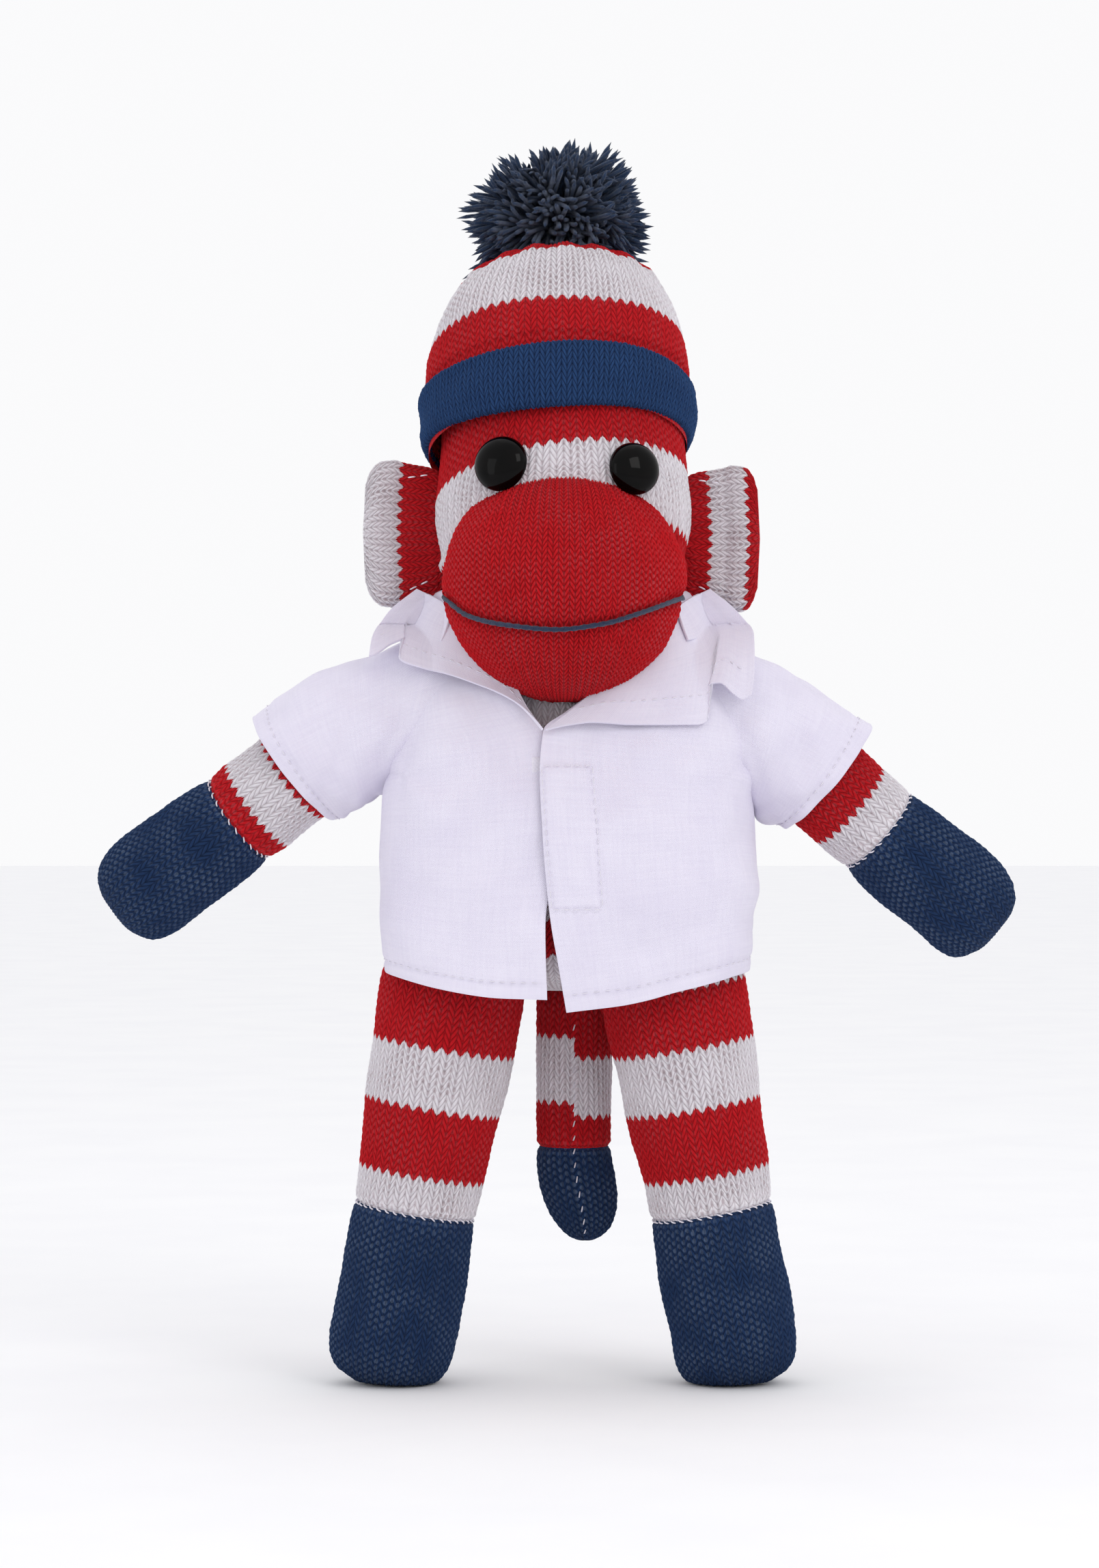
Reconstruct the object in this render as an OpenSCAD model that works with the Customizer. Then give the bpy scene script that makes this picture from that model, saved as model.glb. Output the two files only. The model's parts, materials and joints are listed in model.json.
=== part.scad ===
// Stuffed knit monkey doll in a knit pompom hat and a short-sleeved cotton shirt.
// Millimetres. +Z is up and the face looks along -Y. The doll's left side is +X.
// The origin lies on the floor, midway between the two soles.

/* [Head] */
// Radius of the upper head, which the hat slides over
head_r = 27.6; // [26.5:0.1:27.7]
// Radius of the cheeks
cheek_r = 28.6; // [28:0.1:28.8]
// How far the head sits behind the hips
head_back = 4; // [3:0.5:5]
// Height of the seam between neck and head
neck_z = 166.2; // [165.5:0.1:166.5]
// Largest radius of the muzzle
muzzle_r = 27.3; // [25:0.1:27.5]
// Height of the muzzle's widest level
muzzle_z = 181; // [180:0.5:182]
// Radius of the glossy eyes
eye_r = 6.1; // [5:0.1:6.5]
// Sideways distance from the middle of the face to an eye
eye_x = 15; // [14.5:0.1:15.5]
// Width of an ear from its root to its rim
ear_w = 13.5; // [11:0.5:14]
// Height of an ear
ear_h = 32; // [28:1:32]

/* [Hat] */
// Backward tilt of the hat
hat_tilt = 20; // [19:0.5:21]
// Outer radius of the striped crown
crown_r = 29.8; // [29.6:0.1:29.9]
// Height of the centre of the hat's mouth above the floor
brim_z = 209.3; // [209:0.1:210]
// Height of the folded cuff
cuff_h = 14.7; // [12:0.1:16]
// Outer radius of the folded cuff
cuff_r = 31.8; // [31:0.1:32]
// Half the width of the pompom
pompom_r = 22; // [20:0.5:22]
// Half the height of the pompom
pompom_half_h = 17; // [15:0.5:17]

/* [Torso] */
// Thickness of the knit covers
knit_t = 1.2; // [1:0.1:1.4]
// Sideways distance from the middle to a hip
hip_x = 24.3; // [24:0.1:25]
// Height of the hips
hip_z = 92; // [91:0.5:93]
// Sideways distance from the middle to a shoulder
shoulder_x = 35.5; // [35:0.1:36]
// Height of the shoulders
shoulder_z = 155.5; // [155:0.1:156]

/* [Arms] */
// Radius of an arm
arm_r = 11.4; // [10.5:0.1:11.5]
// Largest radius of a hand
hand_r = 12.4; // [11.5:0.1:12.6]
// Distance from the shoulder to the seam of the hand
wrist_d = 48; // [44:1:50]
// Distance from the shoulder to the tip of the hand
arm_len = 84; // [80:1:86]
// Slope of the right arm below the horizontal
right_slope = 36.5; // [36:0.5:38]
// Slope of the left arm below the horizontal
left_slope = 40.5; // [39:0.5:41]
// Backward lean of the arms
arm_lean = 8; // [4:1:10]

/* [Legs] */
// Radius of a leg at the hip
thigh_r = 16; // [15:0.1:16.2]
// Radius of a leg at the seam of the foot
ankle_r = 13.7; // [13:0.1:14]
// Radius of a foot
foot_r = 14.4; // [14:0.1:14.8]
// Outward splay of the legs
splay = 9.8; // [9:0.1:10.5]
// Height of the seam between leg and foot
ankle_z = 38.9; // [37:0.1:41]

/* [Tail] */
// Radius of the tail
tail_r = 8.7; // [8:0.1:8.8]
// Sideways offset of the tail
tail_x = 2.5; // [0:0.1:2.8]
// Height of the tail's root
tail_z = 84.2; // [83:0.1:84.4]
// Height of the seam of the tail's tip
tail_seam_z = 52; // [48:0.5:56]
// Height of the tail's lowest point
tail_tip_z = 30.2; // [28:0.1:36]

/* [Shirt] */
// Thickness of the cotton cloth
cloth_t = 0.8; // [0.7:0.1:0.9]
// Half the width of the shirt at its hem
hem_rx = 42.4; // [42:0.1:43]
// Half the depth of the shirt at its hem
hem_ry = 29; // [28.5:0.1:30]
// Length of a sleeve from the shoulder's centre
sleeve_len = 30; // [26:1:32]
// Radius of a sleeve's open end
sleeve_end_r = 14.6; // [13.6:0.1:15]
// Height of the hook and loop tapes
tape_h = 31; // [25:1:31]

/* [Hidden] */
$fn = 64;

red = [0.78, 0.06, 0.11];
navy = [0.10, 0.20, 0.34];
knit_white = [0.95, 0.93, 0.95];
cotton = [0.90, 0.88, 0.94];
fibre = [0.88, 0.88, 0.86];
gloss_black = [0.03, 0.03, 0.03];

left = 1;
right = -1;
far = 200;                        // longer than the doll is wide
rub = 0.4;                        // gap between bodies that turn against each other
fill = knit_t + 0.3;              // inset of the stuffing from the outer surface
crown_len = 16.5;                 // straight part of the hat, from mouth to dome
brim_y = head_back - 1.3;         // centre of the hat's mouth
cheek = [0, head_back - 4.5, 196];
muzzle_y = head_back - 22;        // upright axis of the muzzle
chin_clear = 29;                  // radius about the neck that the chin stays out of
sleeve_r = arm_r + 0.7 + cloth_t;
shoulder_gap = sleeve_r + rub;
stitch_depth = 2.2;               // depth of the right front under the left front
torso_levels = [                  // height, half width, half depth, centre
    [93.6, 29, 19, 0], [100, 34, 22, 0], [116, 34, 22.6, 0], [135, 29.6, 21, 0],
    [150, 28.5, 18, 1], [160, 25, 15.5, 2.5], [165.9, 15, 13.5, 4]
];
shirt_levels = [
    [84, hem_rx, hem_ry, 0], [136, 37.6, 25.5, 0], [155, 35.5, 22.3, 1], [168, 26.5, 20.4, 3.5]
];

// ---------- shared shapes ----------

// Convex body through oval levels, drawn in by `inset` and lengthened by `extra` at both ends.
module oval_body(levels, inset, extra) {
    last = len(levels) - 1;
    hull()
        for (i = [0:last])
            translate([0, levels[i][3], levels[i][0] + (i == 0 ? -extra : i == last ? extra : 0)])
                scale([levels[i][1] - inset, levels[i][2] - inset, 1])
                    cylinder(r = 1, h = 0.01, $fn = 36);
}

module at_brim() {
    translate([0, brim_y, brim_z]) rotate([-hat_tilt, 0, 0]) children();
}

// Upright cylinder with a dome on top, starting `start` above the hat's mouth.
module hat_dome(r, start) {
    rotate_extrude() {
        translate([0, start]) square([r, crown_len - start]);
        translate([0, crown_len])
            intersection() {
                circle(r = r);
                square(r);
            }
    }
}

module at_shoulder(side) {
    slope = side == left ? left_slope : right_slope;
    translate([side * shoulder_x, 0, shoulder_z])
        mirror([side == left ? 0 : 1, 0, 0])
            rotate([0, slope, 0]) rotate([0, 0, arm_lean]) rotate([0, 90, 0])
                children();
}

module at_hip(side) {
    translate([side * hip_x, 0, hip_z])
        mirror([side == left ? 0 : 1, 0, 0])
            rotate([0, 180 - splay, 0])
                children();
}

module at_tail() {
    translate([tail_x, 18, tail_z]) rotate([180, 0, 0]) children();
}

module at_eye(side) {
    translate([side * eye_x, head_back - 28.6, 208.2])
        rotate([0, 0, side * 26]) rotate([78, 0, 0])
            children();
}

// ---------- head ----------

module head_shape(inset) {
    floor_z = neck_z + 0.3 + inset;
    intersection() {
        union() {
            at_brim() hat_dome(head_r - inset, 0);
            at_brim() sphere(r = head_r - inset);
            translate(cheek) sphere(r = cheek_r - inset);
            translate([0, head_back, neck_z]) cylinder(r1 = 17 - inset, r2 = 26.4 - inset, h = 15);
        }
        translate([-far / 2, -far / 2, floor_z]) cube(far);
    }
}

module eye_space(side) {
    at_eye(side) {
        cylinder(r = eye_r + 0.2, h = 12);
        translate([0, 0, -9.5]) cylinder(r = 2.15, h = 10);
    }
}

module washer_space(side) {
    at_eye(side) translate([0, 0, -6.7]) cylinder(r = 4.9, h = 3);
}

module head_cover() {
    color(red)
        difference() {
            head_shape(0);
            head_shape(knit_t);
            for (side = [left, right]) eye_space(side);
        }
}

module head_stuffing() {
    color(fibre)
        difference() {
            head_shape(fill);
            for (side = [left, right]) {
                eye_space(side);
                washer_space(side);
            }
        }
}

function muzzle_outline(inset) = [
    for (a = [-90:10:90])
        [max((muzzle_r - inset) * cos(a), 0), muzzle_z + ((a < 0 ? 28 : 23.4) - inset) * sin(a)]
];

module muzzle_shape(inset) {
    difference() {
        translate([0, muzzle_y, 0]) rotate_extrude() polygon(muzzle_outline(inset));
        head_shape(-0.05 - inset);
        translate([0, head_back, muzzle_z - 60 - 2])
            cylinder(r = chin_clear + inset, h = 60 + inset);
    }
}

module muzzle_cover() {
    color(red)
        difference() {
            muzzle_shape(0);
            muzzle_shape(knit_t);
        }
}

module muzzle_stuffing() {
    color(fibre) muzzle_shape(fill);
}

module mouth_yarn() {
    color(navy)
        translate([0, muzzle_y, 177.4])
            rotate([16, 0, 0])
                rotate([0, 0, -160])
                    rotate_extrude(angle = 140) translate([muzzle_r + 0.9, 0]) circle(r = 0.6);
}

module eye(side) {
    color(gloss_black)
        at_eye(side) {
            intersection() {
                sphere(r = eye_r);
                cylinder(r = far, h = far);
            }
            translate([0, 0, -9]) cylinder(r = 2, h = 9.5);
        }
}

module eye_washer(side) {
    color(knit_white)
        at_eye(side)
            translate([0, 0, -6.4])
                difference() {
                    cylinder(r = 4.6, h = 1.2);
                    translate([0, 0, -1]) cylinder(r = 2.05, h = 4);
                }
}

// Flat folded ear with a round root, on which it flops.
module ear(side) {
    root_r = 2.4;
    corner_r = 6;
    color(knit_white)
        translate([side * 31.6, head_back - 2, 174]) {
            cylinder(r = root_r, h = ear_h);
            mirror([side == left ? 0 : 1, 0, 0])
                rotate([90, 0, 0])
                    translate([0, 0, -root_r])
                        linear_extrude(2 * root_r) {
                            square([ear_w - corner_r, ear_h]);
                            translate([0, corner_r]) square([ear_w, ear_h - 2 * corner_r]);
                            for (z = [corner_r, ear_h - corner_r])
                                translate([ear_w - corner_r, z]) circle(r = corner_r);
                        }
        }
}

// ---------- hat ----------

module hat_crown() {
    color(knit_white)
        at_brim()
            difference() {
                hat_dome(crown_r, 0);
                hat_dome(head_r + 0.5, -1);
                translate([0, 0, crown_len]) cylinder(r = 1.2, h = far);
            }
}

module hat_cuff() {
    color(navy)
        at_brim()
            difference() {
                cylinder(r = cuff_r, h = cuff_h);
                translate([0, 0, -1]) cylinder(r = crown_r + 0.05, h = cuff_h + 2);
            }
}

module at_pompom() {
    at_brim() translate([0, 0, crown_len + crown_r + pompom_half_h - 7.5]) children();
}

module tie_shape(extra) {
    rotate_extrude() translate([4, 0]) circle(r = 0.9 + extra);
    translate([0, 0, -11.2]) cylinder(r = 0.9 + extra, h = 11.7);
    for (turn = [0, 90])
        rotate([0, 90, turn]) translate([0, 0, -4]) cylinder(r = 0.6 + extra, h = 8);
}

module pompom() {
    bulge = pompom_r - pompom_half_h;
    color(navy)
        difference() {
            at_pompom()
                rotate_extrude() {
                    translate([0, -pompom_half_h]) square([bulge, 2 * pompom_half_h]);
                    intersection() {
                        translate([bulge, 0]) circle(r = pompom_half_h);
                        translate([0, -far]) square(2 * far);
                    }
                }
            at_brim() translate([0, 0, crown_len]) sphere(r = crown_r + 0.05);
            at_pompom() tie_shape(0.15);
        }
}

module pompom_tie() {
    color(navy) at_pompom() tie_shape(0);
}

// ---------- torso ----------

// The body bag, hollowed where the limbs swing.
module torso_shape(inset) {
    leg_gap = thigh_r + rub + inset;
    difference() {
        oval_body(torso_levels, inset, -inset);
        for (side = [left, right]) {
            translate([side * shoulder_x, 0, shoulder_z]) sphere(r = shoulder_gap + inset);
            translate([side * hip_x, 0, hip_z]) sphere(r = leg_gap);
            mirror([side == left ? 0 : 1, 0, 0])
                translate([hip_x - leg_gap, 0, 0]) {
                    translate([0, -far, 0]) cube([far, far, hip_z + leg_gap]);
                    cube([far, far, hip_z + inset]);
                }
        }
    }
}

module torso_cover() {
    color(knit_white)
        difference() {
            torso_shape(0);
            torso_shape(knit_t);
        }
}

module torso_stuffing() {
    color(fibre) torso_shape(fill);
}

// ---------- shirt ----------

// A layer of the shirt's loose body, `depth` under its outer face and `thick` thick.
module shirt_layer(depth, thick) {
    difference() {
        oval_body(shirt_levels, depth, 0);
        oval_body(shirt_levels, depth + thick, 2);
        for (side = [left, right])
            at_shoulder(side) {
                sphere(r = shoulder_gap);
                cylinder(r = shoulder_gap, h = sleeve_len);
            }
    }
}

// Front half of the doll's space over a flat outline seen from the front.
module front_outline(points) {
    rotate([90, 0, 0]) linear_extrude(far) polygon(points);
}

module shirt_back() {
    color(cotton)
        intersection() {
            shirt_layer(0, cloth_t);
            translate([-far / 2, 0, 91]) cube(far);
        }
}

module left_front() {
    color(cotton)
        intersection() {
            shirt_layer(0, cloth_t);
            front_outline([[0.6, 84.9], [60, 96.9], [60, 185], [26, 185], [24, 172], [-4, 146.5]]);
        }
}

// Right front, with a step down to the strip that lies under the left front.
module right_front() {
    step_x = -7;
    color(cotton)
        intersection() {
            front_outline([[-60, 96], [8, 86.1], [8, 138], [-26, 172], [-26, 185], [-60, 185]]);
            union() {
                intersection() {
                    shirt_layer(0, cloth_t);
                    translate([-far, -far, 0]) cube([far + step_x, far, far]);
                }
                intersection() {
                    shirt_layer(0, stitch_depth + cloth_t);
                    translate([step_x - cloth_t, -far, 0]) cube([cloth_t, far, far]);
                }
                intersection() {
                    shirt_layer(stitch_depth, cloth_t);
                    translate([step_x - cloth_t, -far, 0]) cube(far);
                }
            }
        }
}

module tape(depth, thick) {
    intersection() {
        shirt_layer(depth, thick);
        translate([-3.5, -far, 108]) cube([10.5, far, tape_h]);
    }
}

module loop_tape() {
    color(cotton) tape(cloth_t + 0.12, 0.4);
}

module hook_tape() {
    color(cotton) tape(stitch_depth - 0.55, 0.4);
}

// Fold-over band round the nape with a flat wing on each side of the opening.
module collar() {
    fold = [
        [26.2, 169.2], [26.4, 177], [27.2, 177], [30.6, 169.4], [29.7, 169], [27, 175], [27, 169.2]
    ];
    wing = [
        [28.6, -6.8, 174.4], [29.8, -15.5, 174.6], [29.4, -6.8, 170], [28.6, -17, 169.5],
        [32, -21, 158], [40, -19, 155.5]
    ];
    color(cotton) {
        translate([0, head_back, 0]) rotate([0, 0, -24]) rotate_extrude(angle = 228) polygon(fold);
        for (side = [left, right])
            hull()
                for (p = wing)
                    translate([side * p[0], p[1], p[2]]) sphere(r = 0.5, $fn = 16);
    }
}

module sleeve_shape(grow) {
    sphere(r = arm_r + grow);
    cylinder(r = arm_r + grow, h = 12);
    translate([0, 0, 12])
        cylinder(r1 = arm_r + grow, r2 = sleeve_end_r - sleeve_r + arm_r + grow, h = sleeve_len - 12);
}

module sleeve(side) {
    color(cotton)
        at_shoulder(side)
            difference() {
                sleeve_shape(0.7 + cloth_t);
                sleeve_shape(0.7);
                translate([-far / 2, -far / 2, -far - 3]) cube(far);
                translate([0, 0, sleeve_len - 0.5]) cylinder(r = sleeve_end_r - cloth_t, h = 2);
            }
}

// ---------- limbs ----------

module arm_shape(inset, extra) {
    sphere(r = arm_r - inset);
    cylinder(r = arm_r - inset, h = wrist_d + extra);
}

module hand_shape(inset, extra) {
    swell = 10;
    ball_d = arm_len - hand_r;
    translate([0, 0, wrist_d - extra]) cylinder(r = arm_r - inset, h = extra + 0.01);
    translate([0, 0, wrist_d]) cylinder(r1 = arm_r - inset, r2 = hand_r - inset, h = swell);
    translate([0, 0, wrist_d + swell]) cylinder(r = hand_r - inset, h = ball_d - wrist_d - swell);
    translate([0, 0, ball_d]) sphere(r = hand_r - inset);
}

module arm_cover(side) {
    color(knit_white)
        at_shoulder(side)
            difference() {
                arm_shape(0, 0);
                arm_shape(knit_t, 1);
            }
}

module hand_cover(side) {
    color(navy)
        at_shoulder(side)
            difference() {
                hand_shape(0, 0);
                hand_shape(knit_t, 1);
            }
}

module arm_stuffing(side) {
    color(fibre)
        at_shoulder(side) {
            arm_shape(fill, 0);
            hand_shape(fill, 0);
        }
}

function ankle_d() = (hip_z - ankle_z) / cos(splay);

module leg_shape(inset, extra) {
    sphere(r = thigh_r - inset);
    cylinder(r1 = thigh_r - inset, r2 = ankle_r - inset, h = ankle_d());
    translate([0, 0, ankle_d()]) cylinder(r = ankle_r - inset, h = extra);
}

// Foot with a chamfered toe end, cut level with the floor.
module foot_shape(side, inset, extra) {
    swell = 6;
    toe = 9;
    toe_taper = 3.6;
    end_d = hip_z / cos(splay) + 2.5;
    half_outline = [
        [0, ankle_d() - extra],
        [ankle_r - inset, ankle_d() - extra],
        [ankle_r - inset, ankle_d()],
        [foot_r - inset, ankle_d() + swell],
        [foot_r - inset, end_d - toe],
        [foot_r - toe_taper - inset, end_d],
        [0, end_d]
    ];
    intersection() {
        at_hip(side) rotate_extrude() polygon(half_outline);
        translate([-far / 2, -far / 2, inset]) cube(far);
    }
}

module leg_cover(side) {
    color(knit_white)
        at_hip(side)
            difference() {
                leg_shape(0, 0);
                leg_shape(knit_t, 1);
            }
}

module foot_cover(side) {
    color(navy)
        difference() {
            foot_shape(side, 0, 0);
            foot_shape(side, knit_t, 1);
        }
}

module leg_stuffing(side) {
    color(fibre) {
        at_hip(side) leg_shape(fill, 0);
        foot_shape(side, fill, 1);
    }
}

// ---------- tail ----------

module tail_shape(inset, extra) {
    sphere(r = tail_r - inset);
    cylinder(r = tail_r - inset, h = tail_z - tail_seam_z + extra);
}

module tail_tip_shape(inset, extra) {
    seam_d = tail_z - tail_seam_z;
    ball_d = tail_z - tail_tip_z - tail_r;
    translate([0, 0, seam_d - extra]) cylinder(r = tail_r - inset, h = ball_d - seam_d + extra);
    translate([0, 0, ball_d]) sphere(r = tail_r - inset);
}

module tail_cover() {
    color(knit_white)
        at_tail()
            difference() {
                tail_shape(0, 0);
                tail_shape(knit_t, 1);
            }
}

module tail_tip_cover() {
    color(navy)
        at_tail()
            difference() {
                tail_tip_shape(0, 0);
                tail_tip_shape(knit_t, 1);
            }
}

module tail_stuffing() {
    color(fibre)
        at_tail() {
            tail_shape(fill, 0);
            tail_tip_shape(fill, 0);
        }
}

// ---------- the doll ----------

head_cover();
head_stuffing();
muzzle_cover();
muzzle_stuffing();
mouth_yarn();
eye(left);  // left_eye
eye(right);  // right_eye
eye_washer(left);  // left_eye_washer
eye_washer(right);  // right_eye_washer
ear(left);  // left_ear
ear(right);  // right_ear
hat_crown();
hat_cuff();
pompom();
pompom_tie();
torso_cover();
torso_stuffing();
shirt_back();
left_front();
right_front();
collar();
loop_tape();
hook_tape();
sleeve(left);  // left_sleeve
sleeve(right);  // right_sleeve
arm_cover(left);  // left_arm_cover
hand_cover(left);  // left_hand_cover
arm_stuffing(left);  // left_arm_stuffing
arm_cover(right);  // right_arm_cover
hand_cover(right);  // right_hand_cover
arm_stuffing(right);  // right_arm_stuffing
leg_cover(left);  // left_leg_cover
foot_cover(left);  // left_foot_cover
leg_stuffing(left);  // left_leg_stuffing
leg_cover(right);  // right_leg_cover
foot_cover(right);  // right_foot_cover
leg_stuffing(right);  // right_leg_stuffing
tail_cover();
tail_tip_cover();
tail_stuffing();
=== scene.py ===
"""Looks of a stuffed sock-knit monkey puppet in a cotton shirt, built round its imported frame.

Lengths in this script are millimetres, in the frame of the CAD model: X to the doll's left, -Y to
the front, Z up from the floor.
"""

import json
import math

import bmesh
import bpy
import numpy as np
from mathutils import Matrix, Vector


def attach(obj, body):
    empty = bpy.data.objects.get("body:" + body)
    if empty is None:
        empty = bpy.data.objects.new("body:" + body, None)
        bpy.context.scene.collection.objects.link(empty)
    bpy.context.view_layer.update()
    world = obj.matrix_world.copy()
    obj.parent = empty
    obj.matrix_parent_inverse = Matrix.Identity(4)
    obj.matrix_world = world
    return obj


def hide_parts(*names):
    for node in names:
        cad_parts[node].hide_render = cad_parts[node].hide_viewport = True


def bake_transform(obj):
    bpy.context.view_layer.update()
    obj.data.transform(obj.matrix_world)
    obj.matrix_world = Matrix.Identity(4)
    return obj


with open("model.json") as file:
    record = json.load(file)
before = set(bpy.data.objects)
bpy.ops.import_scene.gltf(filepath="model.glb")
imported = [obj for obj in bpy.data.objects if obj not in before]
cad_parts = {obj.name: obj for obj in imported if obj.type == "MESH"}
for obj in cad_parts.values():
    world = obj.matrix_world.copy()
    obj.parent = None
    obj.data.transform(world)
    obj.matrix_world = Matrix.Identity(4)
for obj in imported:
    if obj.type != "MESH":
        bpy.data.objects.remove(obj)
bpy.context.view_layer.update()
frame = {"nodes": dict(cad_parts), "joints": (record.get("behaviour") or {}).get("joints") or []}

MM = 0.001
LEFT, RIGHT = 1, -1
SIDE_NAME = {LEFT: "left", RIGHT: "right"}

# Knit
WALE = 2.8  # width of one column of stitches
COURSE = 1.7  # height of one row of stitches
FINE = 0.85  # scale of the finer stitches of the muzzle and the cuff
STITCH_COLS, STITCH_ROWS = 8, 4  # mesh cells across and up one stitch
LEG_RISE = 1.5  # courses that a stitch's leg climbs
RELIEF = 0.5  # depth of the knit's relief


def joint(name):
    return next(j for j in frame["joints"] if j["name"] == name)


def joint_at(name):
    return np.array(joint(name)["pos_m"], float) / MM


# ---------- numbers ----------


def unit(v):
    v = np.asarray(v, float)
    return v / np.linalg.norm(v)


def ease(x):
    """Smooth step from 0 to 1."""
    x = np.clip(x, 0, 1)
    return x * x * (3 - 2 * x)


def curve(keys, x):
    """Smooth curve through (x, y...) keys, without overshoot."""
    keys = np.asarray(keys, float)
    kx = keys[:, 0]
    x = np.clip(np.asarray(x, float), kx[0], kx[-1])
    i = np.clip(np.searchsorted(kx, x, side="right") - 1, 0, len(kx) - 2)
    h = np.diff(kx)
    t = (x - kx[i]) / h[i]
    out = []
    for ky in keys[:, 1:].T:
        slope = np.diff(ky) / h
        m = np.zeros(len(kx))
        m[0], m[-1] = slope[0], slope[-1]
        for k in range(1, len(kx) - 1):
            if slope[k - 1] * slope[k] > 0:
                w1, w2 = 2 * h[k] + h[k - 1], h[k] + 2 * h[k - 1]
                m[k] = (w1 + w2) / (w1 / slope[k - 1] + w2 / slope[k])
        out.append(
            ky[i] * (1 + 2 * t) * (1 - t) ** 2
            + ky[i + 1] * t * t * (3 - 2 * t)
            + m[i] * h[i] * t * (1 - t) ** 2
            - m[i + 1] * h[i] * t * t * (1 - t)
        )
    return out[0] if len(out) == 1 else out


def waves(seed, x, y, size, count=14):
    """Soft random relief between about -1 and 1 over x and y, with bumps about `size` wide."""
    rng = np.random.default_rng(seed)
    total = np.zeros(np.broadcast(x, y).shape)
    for _ in range(count):
        turn, phase = rng.uniform(0, 2 * math.pi, 2)
        k = 2 * math.pi / (size * rng.uniform(0.7, 1.8))
        total += np.sin(k * (x * math.cos(turn) + y * math.sin(turn)) + phase)
    return total / math.sqrt(count)


def wave_round(seed, turn, along, size, count=12):
    """The same on a tube: `turn` is 0 to 1 round it, `along` is a length."""
    rng = np.random.default_rng(seed)
    total = np.zeros(np.broadcast(turn, along).shape)
    for _ in range(count):
        lobes = rng.integers(1, 6)
        k = 2 * math.pi / (size * rng.uniform(0.8, 2.0))
        a, b = rng.uniform(0, 2 * math.pi, 2)
        total += np.sin(2 * math.pi * lobes * turn + a) * np.sin(k * along + b)
    return total / math.sqrt(count)


def normals_of(points, closed):
    """Unit normals of a grid of points, rows by columns."""
    if closed:
        across = np.roll(points, -1, 1) - np.roll(points, 1, 1)
    else:
        across = np.gradient(points, axis=1)
    up = np.gradient(points, axis=0)
    n = np.cross(across, up)
    size = np.linalg.norm(n, axis=2, keepdims=True)
    return n / np.maximum(size, 1e-9)


# ---------- meshes ----------


def link(mesh, name):
    obj = bpy.data.objects.new(name, mesh)
    bpy.context.scene.collection.objects.link(obj)
    return obj


def mesh_piece(name, points, faces, materials, face_material=None, uv=None, weld=True):
    """A smooth piece from points in millimetres; uv holds one pair for each face corner."""
    mesh = bpy.data.meshes.new(name)
    faces = np.asarray(faces)
    count, corners = faces.shape
    mesh.vertices.add(len(points))
    mesh.vertices.foreach_set("co", (np.asarray(points, np.float32) * MM).ravel())
    mesh.loops.add(count * corners)
    mesh.loops.foreach_set("vertex_index", faces.ravel().astype(np.int32))
    mesh.polygons.add(count)
    mesh.polygons.foreach_set("loop_start", np.arange(0, count * corners, corners, dtype=np.int32))
    for m in materials:
        mesh.materials.append(m)
    if face_material is not None:
        mesh.polygons.foreach_set("material_index", np.asarray(face_material, np.int32))
    if uv is not None:
        layer = mesh.uv_layers.new(name="cloth")
        layer.data.foreach_set("uv", np.asarray(uv, np.float32).ravel())
    mesh.update()
    mesh.validate()
    mesh.shade_smooth()
    if weld:
        bm = bmesh.new()
        bm.from_mesh(mesh)
        bmesh.ops.remove_doubles(bm, verts=bm.verts, dist=0.002 * MM)
        bm.to_mesh(mesh)
        bm.free()
    return link(mesh, name)


def grid_faces(rows, cols, closed, flip=False):
    """Quads of a grid of points and their column and row numbers at each corner."""
    last = cols if closed else cols - 1
    r, c = np.meshgrid(np.arange(rows - 1), np.arange(last), indexing="ij")
    r, c = r.ravel(), c.ravel()
    corner_r = np.stack([r, r, r + 1, r + 1], 1)
    corner_c = np.stack([c, c + 1, c + 1, c], 1)
    if flip:
        corner_r, corner_c = corner_r[:, ::-1], corner_c[:, ::-1]
    return corner_r * cols + corner_c % cols, corner_c, corner_r, r, c


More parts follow.
